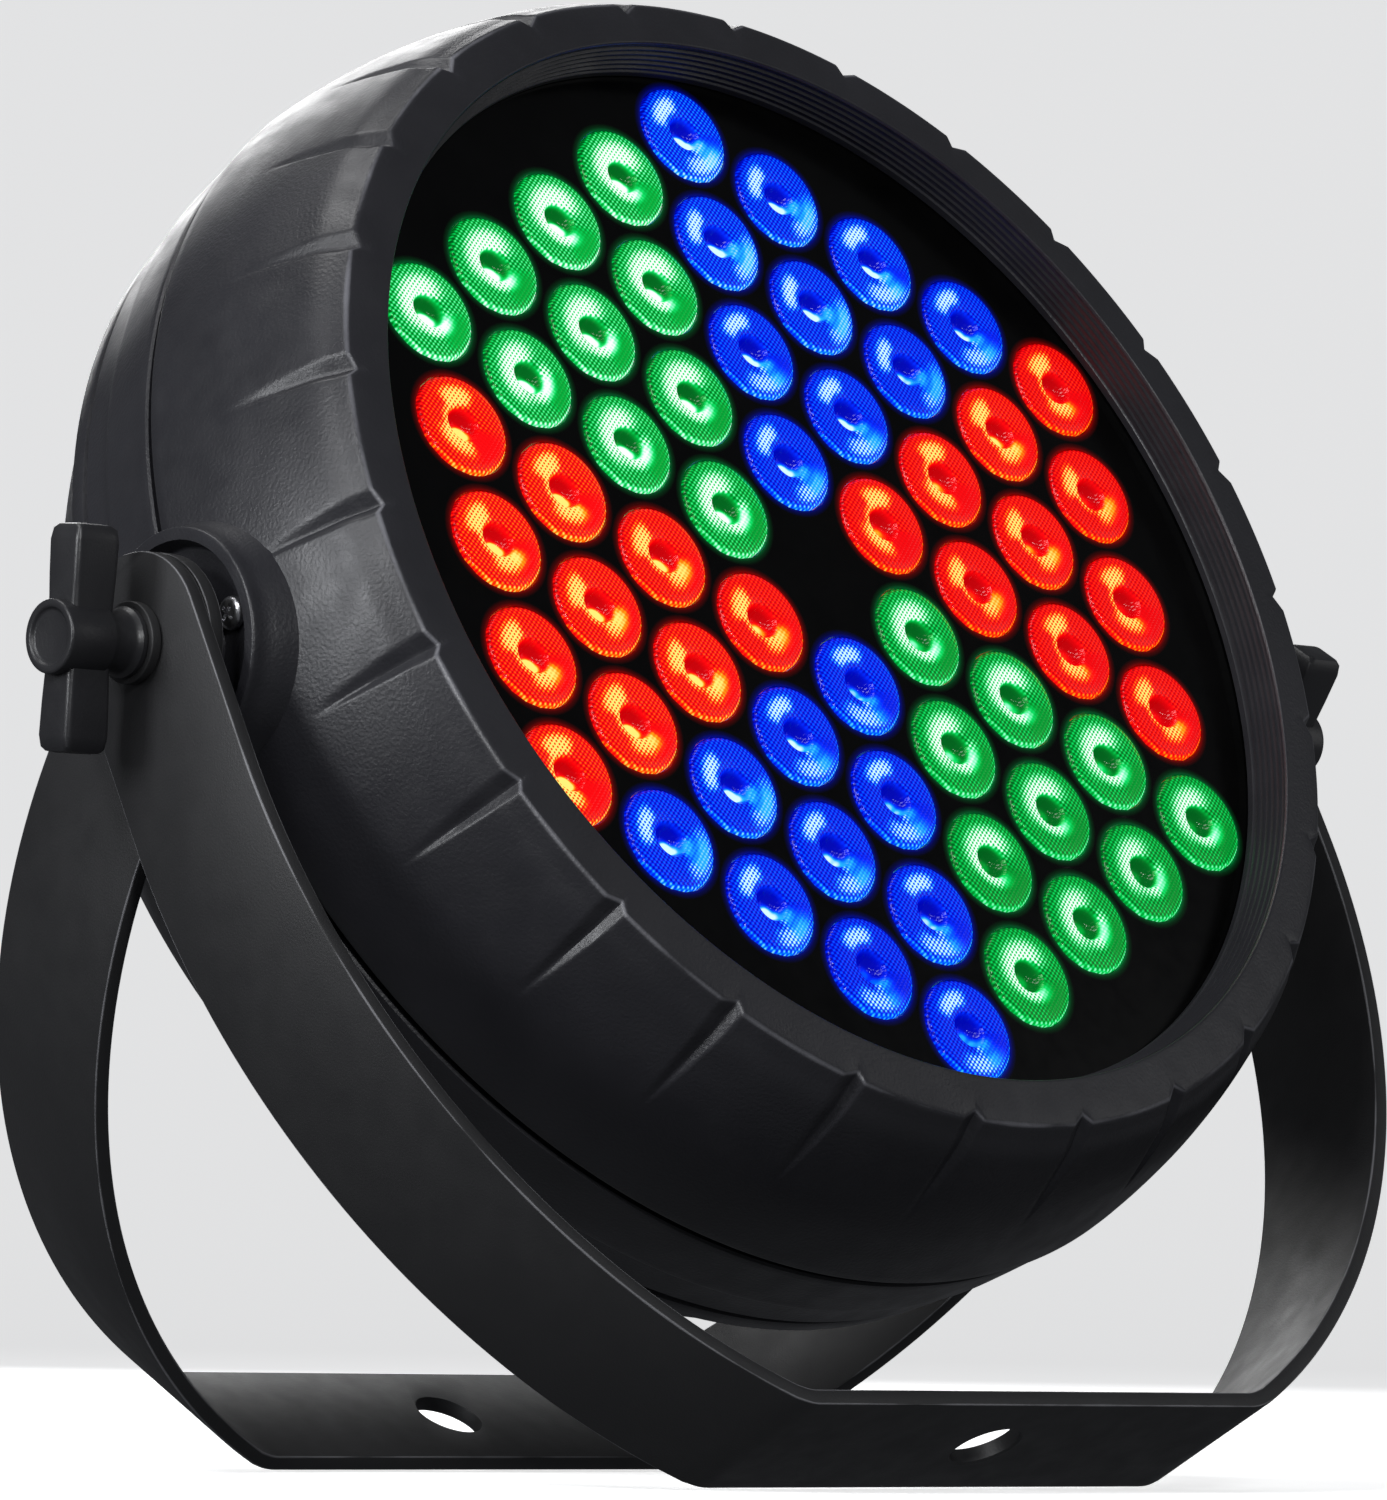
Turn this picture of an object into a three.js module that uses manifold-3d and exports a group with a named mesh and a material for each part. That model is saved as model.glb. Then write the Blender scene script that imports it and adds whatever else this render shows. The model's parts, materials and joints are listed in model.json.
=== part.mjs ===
// Slim LED par can on two hinged floor brackets. Millimetres, +Z up, the lamp looks towards -Y.
// Head pieces are drawn in the head's own frame: its z axis is the optical axis pointing out of the
// front, y is up along the face, x is to the right, and z = 0 is the front of the black face plate.
import * as THREE from "three";
import { mergeVertices } from "three/addons/utils/BufferGeometryUtils.js";
import Module from "manifold-3d";

const wasm = await Module();
wasm.setup();

// ---------- driving dimensions ----------
const GAP = 0.3; // clearance between neighbouring pieces
const LED_PITCH = 23;
const LENS_RADIUS = 9.9;
const LED_RINGS = 4;
const HEAD_TILT = 25; // degrees the face looks up
const PLATE_FORWARD = 33; // face plate ahead of the pivot axis
const PIVOT_DROP = 7.5; // pivot axis below the head's centre line

const PLATE_RADIUS = 107.8;
const PLATE_THICKNESS = 2;
const LIP_RADIUS = 106; // inner edge of the front ring
const LIP_HEIGHT = 9; // front ring ahead of the face plate
const VISIBLE_PLATE_RADIUS = 103.8;
const SEAM_RADIUS = 126.3;
const SEAM_DEPTH = 33.5;
const SEAM_GAP = 1.7;
const SHELL_DEPTH = 92; // back wall behind the face plate
const SHELL_WALL = 2.5;
const GRIP_NOTCHES = 26;
const ROUND = 52; // facets round the two shells

const PANEL_RADIUS = 84;
const PANEL_OPENING = 74;
const PANEL_THICKNESS = 2;

const STRAP = 3; // bracket sheet thickness
const STRAP_WIDTH = 32;
const BEND_RADIUS = 137; // outer face of each bracket
const STRAIGHT_LEG = 30; // pivot to the start of the bend
const FOOT_HALF = 57;
const FOOT_HOLE_RADIUS = 6.6;
const SPLAY = 28.3; // degrees each bracket leans out from the vertical

const STUD_RADIUS = 4;
const STUD_HOLE_RADIUS = 4.5;
const BOSS_RADIUS = 21;
const LEFT_KNOB_TURN = -3.5; // degrees from wings upright
const RIGHT_KNOB_TURN = 30;

const rad = THREE.MathUtils.degToRad;
const footDrop = STRAIGHT_LEG + Math.sqrt(BEND_RADIUS ** 2 - FOOT_HALF ** 2);
const pivotHeight =
  footDrop * Math.cos(rad(SPLAY)) + (STRAP_WIDTH / 2) * Math.sin(rad(SPLAY));
const backWall = -SHELL_DEPTH;
const panelFront = backWall - GAP;
const panelBack = panelFront - PANEL_THICKNESS;
const onPanel = panelBack - GAP; // where flanges and screw heads sit

// ---------- materials ----------
function finish(color, roughness, metalness) {
  return new THREE.MeshStandardMaterial({ color, roughness, metalness });
}
const shellPlastic = finish(0x26262a, 0.42, 0.0);
const glossPlastic = finish(0x050506, 0.12, 0.0);
const bracketPaint = finish(0x1d1d20, 0.55, 0.2);
const knobPlastic = finish(0x17171a, 0.38, 0.0);
const brightSteel = finish(0xb9bcc0, 0.3, 1.0);
const fibreWasher = finish(0x2b2724, 0.85, 0.0);
const boardGreen = finish(0x20513a, 0.55, 0.0);
const boardWhite = finish(0xe6e6e2, 0.5, 0.0);
const castAluminium = finish(0x9a9da1, 0.45, 1.0);
const supplyCase = finish(0x7d8084, 0.5, 0.9);
const panelPaint = finish(0x202024, 0.5, 0.2);
const displayGlass = finish(0x101820, 0.08, 0.0);
const buttonRubber = finish(0x3a3a3e, 0.7, 0.0);
const socketPlastic = finish(0x0e0e10, 0.45, 0.0);
const socketMetal = finish(0x8d9094, 0.35, 1.0);
const lensColours = {
  blue: finish(0x2850ff, 0.1, 0.0),
  red: finish(0xff2a20, 0.1, 0.0),
  green: finish(0x28f070, 0.1, 0.0),
};

// ---------- solids ----------
function solid(geometry) {
  const plain = geometry.index ? geometry.toNonIndexed() : geometry.clone();
  plain.deleteAttribute("normal");
  plain.deleteAttribute("uv");
  const merged = mergeVertices(plain, 1e-4);
  const index = Array.from(merged.index.array);
  const kept = [];
  for (let i = 0; i < index.length; i += 3) {
    const [a, b, c] = index.slice(i, i + 3);
    if (a !== b && b !== c && c !== a) kept.push(a, b, c);
  }
  return new wasm.Manifold(
    new wasm.Mesh({
      numProp: 3,
      vertProperties: merged.attributes.position.array,
      triVerts: new Uint32Array(kept),
    }),
  );
}

function geometryOf(made) {
  const { vertProperties, triVerts } = made.getMesh();
  const geometry = new THREE.BufferGeometry();
  geometry.setAttribute(
    "position",
    new THREE.BufferAttribute(new Float32Array(vertProperties), 3),
  );
  geometry.setIndex(new THREE.BufferAttribute(new Uint32Array(triVerts), 1));
  geometry.computeVertexNormals();
  return geometry;
}

function piece(name, made, material) {
  const mesh = new THREE.Mesh(geometryOf(made), material);
  mesh.name = name;
  return mesh;
}

// A body of revolution about z; each profile point is [radius, z].
function turned(profile, facets) {
  const points = profile.map(([r, z]) => new THREE.Vector2(r, z));
  if (THREE.ShapeUtils.area(points) < 0) points.reverse();
  points.push(points[0].clone());
  return solid(new THREE.LatheGeometry(points, facets).rotateX(Math.PI / 2));
}

function disc(radius, fromZ, toZ, facets, x = 0, y = 0) {
  return pulled(circle(radius, facets, x, y), fromZ, toZ);
}

function block(width, height, fromZ, toZ, x = 0, y = 0) {
  const geometry = new THREE.BoxGeometry(width, height, toZ - fromZ);
  geometry.translate(x, y, (fromZ + toZ) / 2);
  return solid(geometry);
}

// An outline pulled along z.
function pulled(outline, fromZ, toZ, holes = []) {
  const shape = new THREE.Shape(outline);
  shape.holes = holes.map((hole) => new THREE.Path(hole));
  const geometry = new THREE.ExtrudeGeometry(shape, {
    depth: toZ - fromZ,
    bevelEnabled: false,
  });
  geometry.translate(0, 0, fromZ);
  return solid(geometry);
}

function circle(radius, facets, x = 0, y = 0) {
  const points = [];
  for (let i = 0; i < facets; i++) {
    const angle = (i * 2 * Math.PI) / facets;
    points.push(
      new THREE.Vector2(x + radius * Math.cos(angle), y + radius * Math.sin(angle)),
    );
  }
  return points;
}

function moved(made, matrix) {
  return made.transform(matrix.toArray());
}

function turnedAbout(axis, degrees) {
  return new THREE.Matrix4().makeRotationAxis(axis, rad(degrees));
}

const X_AXIS = new THREE.Vector3(1, 0, 0);
const Y_AXIS = new THREE.Vector3(0, 1, 0);
const Z_AXIS = new THREE.Vector3(0, 0, 1);

// ---------- optics ----------
function direction(degrees) {
  return new THREE.Vector2(Math.cos(rad(degrees)), Math.sin(rad(degrees)));
}

// The ten LEDs of one sector: a spoke of four and the shorter rows clockwise of it.
function sectorSpots(spokeDegrees) {
  const spots = [];
  for (let ring = 1; ring <= LED_RINGS; ring++) {
    for (let step = 0; step < ring; step++) {
      const spot = direction(spokeDegrees).multiplyScalar(ring * LED_PITCH);
      spot.addScaledVector(direction(spokeDegrees - 120), step * LED_PITCH);
      spots.push(spot);
    }
  }
  return spots;
}

const SECTORS = [
  ["lens_array_blue_top", 90, "blue"],
  ["lens_array_red_right", 30, "red"],
  ["lens_array_green_right", -30, "green"],
  ["lens_array_blue_bottom", -90, "blue"],
  ["lens_array_red_left", -150, "red"],
  ["lens_array_green_left", 150, "green"],
];
const allSpots = SECTORS.flatMap(([, degrees]) => sectorSpots(degrees));
const LENS_FACETS = 10;
const LENS_BACK = -9.6;
const LENS_FRONT = 0.9;
const WEB_EDGE = 12; // how far the moulded web reaches past its corner lenses
const WEB_THICKNESS = 1.5;

function lensArray(name, spokeDegrees, colour) {
  const spots = sectorSpots(spokeDegrees);
  const corners = [spots[0], spots[6], spots[9]];
  const centre = new THREE.Vector2();
  corners.forEach((corner) => centre.addScaledVector(corner, 1 / 3));
  const web = corners.map((corner) => {
    const outward = corner.clone().sub(centre).normalize();
    return corner.clone().addScaledVector(outward, WEB_EDGE);
  });
  let made = pulled(web, LENS_BACK, LENS_BACK + WEB_THICKNESS);
  const lens = disc(LENS_RADIUS, LENS_BACK, LENS_FRONT, LENS_FACETS);
  for (const spot of spots) made = made.add(lens.translate([spot.x, spot.y, 0]));
  return piece(name, made, lensColours[colour]);
}

function facePlate() {
  const holes = allSpots.map((spot) =>
    circle(LENS_RADIUS + GAP, LENS_FACETS, spot.x, spot.y).reverse(),
  );
  return piece(
    "face_plate",
    pulled(circle(PLATE_RADIUS, ROUND), -PLATE_THICKNESS, 0, holes),
    glossPlastic,
  );
}

const BOARD_FRONT = -11.6;
const BOARD_BACK = -13.2;
const BOARD_RADIUS = 102;
const LED_SIDE = 3.5;

function ledBoard() {
  let made = disc(BOARD_RADIUS, BOARD_BACK, BOARD_FRONT, ROUND);
  for (const spot of allSpots) {
    const led = block(LED_SIDE, LED_SIDE, BOARD_FRONT - 0.5, LENS_BACK - GAP, spot.x, spot.y);
    made = made.add(led);
  }
  return piece("led_board", made, boardWhite);
}

function heatSink() {
  const radius = BOARD_RADIUS - 4;
  const front = BOARD_BACK - GAP;
  const back = front - 4;
  const finPitch = 20;
  const finLength = 20;
  let made = disc(radius, back, front, ROUND);
  for (let i = -4; i <= 4; i++) {
    const x = i * finPitch;
    const chord = 2 * Math.sqrt((radius - 4) ** 2 - x ** 2);
    made = made.add(block(3, chord, back - finLength, back + 1, x));
  }
  return piece("heat_sink", made, castAluminium);
}

// ---------- shells ----------
// One grip notch: a ramp that sinks into the rim and ends in a sharp step, fading out backwards.
function notchCutter() {
  const width = 9;
  const rampLean = 12;
  const backwardFade = 22.4;
  const cutter = block(10, width, -30, 12, 5, width / 2);
  const leaning = moved(cutter, turnedAbout(Z_AXIS, rampLean));
  const fading = moved(leaning, turnedAbout(Y_AXIS, -backwardFade));
  return fading.translate([115.8, -width, 6.5]);
}

function frontHousing() {
  let made = turned(
    [
      [LIP_RADIUS, LIP_HEIGHT],
      [112.8, LIP_HEIGHT - 0.2],
      [115.6, 6.2],
      [121, -5],
      [124.8, -20],
      [SEAM_RADIUS, -SEAM_DEPTH],
      [SEAM_RADIUS - SHELL_WALL, -SEAM_DEPTH],
      [121.5, -18],
      [PLATE_RADIUS + GAP, -6],
      [PLATE_RADIUS + GAP, GAP],
      [VISIBLE_PLATE_RADIUS, GAP],
      [VISIBLE_PLATE_RADIUS + 0.2, 2.5],
      [VISIBLE_PLATE_RADIUS + 0.9, 2.9],
      [VISIBLE_PLATE_RADIUS + 1.1, 5.5],
      [LIP_RADIUS - 0.4, 5.9],
    ],
    ROUND,
  );
  const cutter = notchCutter();
  for (let i = 0; i < GRIP_NOTCHES; i++) {
    const around = turnedAbout(Z_AXIS, (i * 360) / GRIP_NOTCHES);
    made = made.subtract(moved(cutter, around));
  }
  return piece("front_housing", made.subtract(bossSpace()), shellPlastic);
}

function rearHousing() {
  const rearEdge = -(SEAM_DEPTH + SEAM_GAP);
  let made = turned(
    [
      [SEAM_RADIUS - SHELL_WALL - 0.6, -SEAM_DEPTH + 4],
      [SEAM_RADIUS - SHELL_WALL - 0.6, rearEdge],
      [SEAM_RADIUS - 0.6, rearEdge],
      [124.7, -48.6],
      [123.4, -49.4],
      [123, -56.6],
      [121.5, -58],
      [122.4, -59.4],
      [122, -62.4],
      [120, -63.6],
      [113.4, -77],
      [105.4, -88.6],
      [99, backWall],
      [PANEL_OPENING, backWall],
      [PANEL_OPENING, backWall + SHELL_WALL],
      [100, backWall + SHELL_WALL],
      [110, -78],
      [118.8, -56],
      [SEAM_RADIUS - 2 * SHELL_WALL - 0.6, rearEdge - 4],
      [SEAM_RADIUS - 2 * SHELL_WALL - 0.6, -SEAM_DEPTH + 4],
    ],
    ROUND,
  );
  for (const angle of SCREW_ANGLES) {
    const spot = direction(angle).multiplyScalar(SHELL_SCREW_REACH);
    const hole = disc(SCREW_HOLE_RADIUS, backWall - 1, backWall + 6, 8, spot.x, spot.y);
    made = made.subtract(hole);
  }
  return piece("rear_housing", made.subtract(bossSpace()), shellPlastic);
}

// ---------- pivot bosses, set across the seam on both sides ----------
const BOSS_INNER = 112;
const BOSS_FACE = 130;
const BOSS_FLOOR = 126.5;
const HUB_RADIUS = 9;
const BOSS_SCREW_REACH = 13; // boss screws from the pivot axis
const STUD_END = 118; // inner end of each stud

// Turns a body of revolution about z into one about x, on the given side.
function onSide(made, side) {
  return moved(made, turnedAbout(Y_AXIS, 90 * side));
}

// From the pivot frame (axes along the floor and upright) into the head frame.
function pivotToHead(made) {
  const upright = moved(made, turnedAbout(X_AXIS, HEAD_TILT - 90));
  return upright.translate([0, -PIVOT_DROP, -PLATE_FORWARD]);
}

function bossSpace() {
  const bar = disc(BOSS_RADIUS + GAP, -140, 140, 32);
  const middle = disc(BOSS_RADIUS + 5, 10 - BOSS_INNER, BOSS_INNER - 10, 32);
  return pivotToHead(onSide(bar.subtract(middle), 1));
}

// Where a boss screw sits: ahead of the stud along the optical axis, or behind it.
function bossScrewSpot(side, ahead) {
  const tilt = direction(HEAD_TILT);
  return new THREE.Vector2(-side * tilt.y, -tilt.x).multiplyScalar(ahead * BOSS_SCREW_REACH);
}

function pivotBoss(name, side) {
  const cup = turned(
    [
      [0, BOSS_INNER],
      [BOSS_RADIUS, BOSS_INNER],
      [BOSS_RADIUS, BOSS_FACE - 1.2],
      [BOSS_RADIUS - 1, BOSS_FACE],
      [BOSS_RADIUS - 2.6, BOSS_FACE],
      [BOSS_RADIUS - 3.4, BOSS_FLOOR],
      [HUB_RADIUS, BOSS_FLOOR],
      [HUB_RADIUS, BOSS_FACE],
      [0, BOSS_FACE],
    ],
    28,
  );
  let made = cup.subtract(disc(STUD_HOLE_RADIUS, STUD_END - 2, BOSS_FACE + 1, 14));
  for (const ahead of [1, -1]) {
    const spot = bossScrewSpot(side, ahead);
    made = made.subtract(disc(1.8, BOSS_FLOOR - 8, BOSS_FLOOR + 1, 8, spot.x, spot.y));
  }
  return piece(name, onSide(made, side), shellPlastic);
}

function screw(headRadius, headHeight, shankRadius, shankLength) {
  return turned(
    [
      [0, -shankLength],
      [shankRadius, -shankLength],
      [shankRadius, 0],
      [headRadius, 0],
      [headRadius, headHeight],
      [0, headHeight],
    ],
    8,
  );
}

function bossScrew(name, side, ahead) {
  const spot = bossScrewSpot(side, ahead);
  const made = screw(3, 1.6, 1.4, 6).translate([spot.x, spot.y, BOSS_FLOOR + GAP]);
  return piece(name, onSide(made, side), brightSteel);
}

// ---------- rear panel ----------
const DISPLAY = { width: 40, height: 16, x: 0, y: 40 };
const BUTTON_RADIUS = 4;
const BUTTONS = [
  ["menu_button", -27],
  ["down_button", -9],
  ["up_button", 9],
  ["enter_button", 27],
];
const BUTTON_ROW = 17;
const BUTTON_INNER = -88; // where button caps and the display window end inside
const SIGNAL = { radius: 12, wall: 2, reach: 32, y: -16 };
const POWER = { width: 28, height: 21, x: -14, y: -51 };
const FUSE = { radius: 7, x: 25, y: -53 };
const PANEL_SCREW_REACH = 79;
const SHELL_SCREW_REACH = 92;
const SCREW_ANGLES = [45, 135, 225, 315];
const SCREW_HOLE_RADIUS = 1.8;

function rectangle(width, height, x, y) {
  const corners = [
    [-1, -1],
    [1, -1],
    [1, 1],
    [-1, 1],
  ];
  return corners.map(([i, j]) => new THREE.Vector2(x + (i * width) / 2, y + (j * height) / 2));
}

function rearPanel() {
  const slack = 2 * GAP;
  const holes = [
    rectangle(DISPLAY.width + slack, DISPLAY.height + slack, DISPLAY.x, DISPLAY.y),
    rectangle(POWER.width + slack, POWER.height + slack, POWER.x, POWER.y),
    circle(SIGNAL.radius + GAP, 20, -SIGNAL.reach, SIGNAL.y),
    circle(SIGNAL.radius + GAP, 20, SIGNAL.reach, SIGNAL.y),
    circle(FUSE.radius + GAP, 16, FUSE.x, FUSE.y),
  ];
  for (const [, x] of BUTTONS) holes.push(circle(BUTTON_RADIUS + GAP, 12, x, BUTTON_ROW));
  for (const angle of SCREW_ANGLES) {
    const spot = direction(angle).multiplyScalar(PANEL_SCREW_REACH);
    holes.push(circle(SCREW_HOLE_RADIUS, 8, spot.x, spot.y));
  }
  const made = pulled(circle(PANEL_RADIUS, ROUND), panelBack, panelFront, holes);
  return piece("rear_panel", made, panelPaint);
}

function displayWindow() {
  const back = panelBack - 0.4;
  const made = block(DISPLAY.width, DISPLAY.height, back, BUTTON_INNER, DISPLAY.x, DISPLAY.y);
  return piece("display_window", made, displayGlass);
}

function pushButton(name, x) {
  const cap = disc(BUTTON_RADIUS, panelBack - 2.2, BUTTON_INNER, 12, x, BUTTON_ROW);
  const skirt = disc(BUTTON_RADIUS + 1.4, panelFront + 2.1, BUTTON_INNER, 12, x, BUTTON_ROW);
  return piece(name, cap.add(skirt), buttonRubber);
}

// The board behind the display carries the screen and one switch under each button.
function controlBoard() {
  const back = BUTTON_INNER + 4;
  const screenBack = BUTTON_INNER + 0.6;
  const switchBack = BUTTON_INNER + 1.4; // leaves room for the button's travel
  let made = block(96, 56, back, back + 1.6, 0, 32);
  made = made.add(block(36, 13, screenBack, back + 0.5, DISPLAY.x, DISPLAY.y));
  for (const [, x] of BUTTONS) {
    made = made.add(block(6, 6, switchBack, back + 0.5, x, BUTTON_ROW));
  }
  return piece("control_board", made, boardGreen);
}

// A sheet-metal tray, open towards the heat sink.
function powerSupply() {
  const width = 124;
  const height = 56;
  const wall = 6;
  const y = -40;
  const tray = block(width, height, -76, -48, 0, y);
  const recess = block(width - 2 * wall, height - 2 * wall, -50, -46, 0, y);
  return piece("power_supply", tray.subtract(recess), supplyCase);
}

// ---------- sockets: a flange on the panel, a body through it, a cavity open to the back ----------
const socketBack = onPanel - 2;
const SOCKET_END = -80; // inner end of the socket bodies
const CONTACT_REACH = 4.2; // the three signal contacts from the socket's centre
const PIN_DEPTH = 6; // pin tips below the socket's mouth
const SIGNAL_DEPTH = 12;
const POWER_DEPTH = 13;

function signalSocket(x, cavityDepth) {
  const { radius, wall, y } = SIGNAL;
  const flange = disc(radius + 3, socketBack, onPanel, 20, x, y);
  const body = disc(radius, socketBack, SOCKET_END, 20, x, y);
  const cavity = disc(radius - wall, socketBack - 1, socketBack + cavityDepth, 16, x, y);
  return flange.add(body).subtract(cavity);
}

function signalContacts(x, radius, from, to) {
  return [90, 210, 330].map((angle) => {
    const spot = direction(angle).multiplyScalar(CONTACT_REACH);
    return disc(radius, from, to, 6, x + spot.x, SIGNAL.y + spot.y);
  });
}

function signalInput() {
  const x = -SIGNAL.reach;
  let made = signalSocket(x, SIGNAL_DEPTH);
  const pins = signalContacts(x, 1.2, socketBack + PIN_DEPTH, socketBack + SIGNAL_DEPTH + 1);
  for (const pin of pins) made = made.add(pin);
  return piece("signal_input", made, socketMetal);
}

function signalOutput() {
  const x = SIGNAL.reach;
  let made = signalSocket(x, 1.5);
  const bores = signalContacts(x, 1.5, socketBack - 1, socketBack + 9);
  for (const bore of bores) made = made.subtract(bore);
  return piece("signal_output", made, socketMetal);
}

function powerInlet() {
  const { width, height, x, y } = POWER;
  const wall = 2;
  const flange = block(width + 10, height + 4, socketBack, onPanel, x, y);
  const body = block(width, height, socketBack, SOCKET_END, x, y);
  const mouth = socketBack - 1;
  const floor = socketBack + POWER_DEPTH;
  const cavity = block(width - 2 * wall, height - 2 * wall, mouth, floor, x, y);
  let made = flange.add(body).subtract(cavity);
  const blades = [
    [-7, -2],
    [0, 2.5],
    [7, -2],
  ];
  for (const [dx, dy] of blades) {
    made = made.add(block(2, 4.5, socketBack + PIN_DEPTH, floor + 1, x + dx, y + dy));
  }
  return piece("power_inlet", made, socketPlastic);
}

function fuseHolder() {
  const { radius, x, y } = FUSE;
  const capBack = onPanel - 6.7;
  const cap = disc(radius + 1.5, capBack, onPanel, 16, x, y);
  const body = disc(radius, onPanel - 1, SOCKET_END, 16, x, y);
  const slot = block(9, 1.6, capBack - 1, capBack + 1.4, x, y);
  return piece("fuse_holder", cap.add(body).subtract(slot), socketPlastic);
}

// Screws whose heads sit on the back, pointing forward into the lamp.
function backScrew(name, reach, angle, seat) {
  const spot = direction(angle).multiplyScalar(reach);
  const made = moved(screw(3.2, 1.8, 1.4, 1.6), turnedAbout(X_AXIS, 180));
  return piece(name, made.translate([spot.x, spot.y, seat]), brightSteel);
}

// A loop of flat bar standing on a short foot, for a safety cable.
function safetyEye() {
  const outer = 11;
  const bore = 6.5;
  const reach = 14;
  const footHalf = 14;
  const footHeight = 2.5;
  const barHalf = 2;
  const outline = [new THREE.Vector2(-footHalf, 0), new THREE.Vector2(footHalf, 0)];
  outline.push(new THREE.Vector2(footHalf, footHeight));
  for (let i = 0; i <= 10; i++) {
    const swing = direction(i * 18).multiplyScalar(outer);
    outline.push(new THREE.Vector2(swing.x, reach + swing.y));
  }
  outline.push(new THREE.Vector2(-footHalf, footHeight));
  const loop = pulled(outline, -barHalf, barHalf, [circle(bore, 16, 0, reach).reverse()]);
  const standing = moved(loop, turnedAbout(X_AXIS, -90));
  const seated = standing.translate([0, SHELL_SCREW_REACH, backWall - GAP]);
  return piece("safety_eye", seated, brightSteel);
}

// ---------- brackets ----------
const PAIR_OFFSET = (STRAP + GAP) / 2; // the two brackets overlap side by side

// Outline of the bent strap, drawn with x across the lamp and y up from the pivot axis.
function bracketOutline() {
  const bends = 12;
  function half(radius, drop) {
    const points = [new THREE.Vector2(radius, STRAP_WIDTH / 2)];
    const lowest = Math.asin((drop - STRAIGHT_LEG) / radius);
    for (let i = 0; i <= bends; i++) {
      const angle = (lowest * i) / bends;
      points.push(
        new THREE.Vector2(
          radius * Math.cos(angle),
          -STRAIGHT_LEG - radius * Math.sin(angle),
        ),
      );
    }
    return points;
  }
  function mirrored(points) {
    return points.map((p) => new THREE.Vector2(-p.x, p.y)).reverse();
  }
  const outer = half(BEND_RADIUS, footDrop);
  const inner = half(BEND_RADIUS - STRAP, footDrop - STRAP);
  return [...outer, ...mirrored(outer), ...mirrored(inner).reverse(), ...inner.reverse()];
}

function bracket() {
  const half = STRAP_WIDTH / 2;
  const strap = pulled(bracketOutline(), -half, half);
  const sideView = [new THREE.Vector2(half, -footDrop - 5)];
  for (let i = 0; i <= 12; i++) {
    const angle = (i * Math.PI) / 12;
    sideView.push(
      new THREE.Vector2(half * Math.cos(angle), half * Math.sin(angle)),
    );
  }
  sideView.push(new THREE.Vector2(-half, -footDrop - 5));
  const rounding = moved(pulled(sideView, -160, 160), turnedAbout(Y_AXIS, 90));
  const pivotHoles = onSide(disc(STUD_HOLE_RADIUS, -160, 160, 16), 1);
  const footHole = moved(disc(FOOT_HOLE_RADIUS, 100, 170, 24), turnedAbout(X_AXIS, 90));
  return strap.intersect(rounding).subtract(pivotHoles).subtract(footHole);
}

function placedBracket(name, lean, offset) {
  const mesh = piece(name, bracket().translate([offset, 0, 0]), bracketPaint);
  const upright = new THREE.Matrix4().makeRotationX(Math.PI / 2);
  const leaning = new THREE.Matrix4().makeRotationX(rad(lean));
  mesh.applyMatrix4(upright.premultiply(leaning));
  return mesh;
}

// ---------- clamping hardware, along x from the boss outwards ----------
const INNER_FACE = BEND_RADIUS - STRAP - PAIR_OFFSET; // inner face of the inner strap
const OUTER_FACE = BEND_RADIUS + PAIR_OFFSET;
const KNOB_START = OUTER_FACE + 2.6;
const KNOB_HUB_RADIUS = 6.5;
const KNOB_BASE_RADIUS = 6.2;
const KNOB_STEM_RADIUS = 5.4;
const STUD_TIP = KNOB_START + 12; // outer end of each stud, inside the knob

function washer(name, side, radius, from, to, material) {
  const made = disc(radius, from, to, 20).subtract(
    disc(STUD_HOLE_RADIUS, from - 1, to + 1, 14),
  );
  return piece(name, onSide(made, side), material);
}

// Outline of the wing block: a bar with rounded ends, long side along y.
function wingOutline() {
  const halfLength = 19.7;
  const halfDepth = 4.2;
  const lobe = 2.6;
  const corner = 1.2;
  const outline = [];
  const corners = [
    [1, 1, 0],
    [-1, 1, 90],
    [-1, -1, 180],
    [1, -1, 270],
  ];
  for (const [i, j, start] of corners) {
    const x = i * (halfDepth - corner);
    const y = j * (halfLength - lobe);
    for (let step = 0; step <= 3; step++) {
      const swing = direction(start + step * 30);
      outline.push(new THREE.Vector2(x + corner * swing.x, y + lobe * swing.y));
    }
  }
  return outline;
}

function knobBody() {
  const wingInner = KNOB_START + 5.4;
  const wingOuter = wingInner + 9.4;
  const hub = turned(
    [
      [0, KNOB_START],
      [KNOB_BASE_RADIUS, KNOB_START],
      [KNOB_BASE_RADIUS, KNOB_START + 1.2],
      [KNOB_STEM_RADIUS, KNOB_START + 2],
      [KNOB_STEM_RADIUS, wingInner],
      [KNOB_HUB_RADIUS, wingInner + 2],
      [KNOB_HUB_RADIUS, wingOuter + 1.2],
      [KNOB_STEM_RADIUS, wingOuter + 2],
      [0, wingOuter + 2],
    ],
    16,
  );
  return hub.add(pulled(wingOutline(), wingInner, wingOuter));
}

function knob(name, side, turn) {
  const blindHole = disc(STUD_RADIUS + GAP, KNOB_START - 1, STUD_TIP + GAP, 16);
  const upright = 90;
  const made = knobBody().subtract(blindHole);
  return piece(name, onSide(moved(made, turnedAbout(Z_AXIS, upright + turn)), side), knobPlastic);
}

function stud(name, side) {
  const made = disc(STUD_RADIUS, STUD_END, STUD_TIP, 16);
  return piece(name, onSide(made, side), brightSteel);
}

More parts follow.
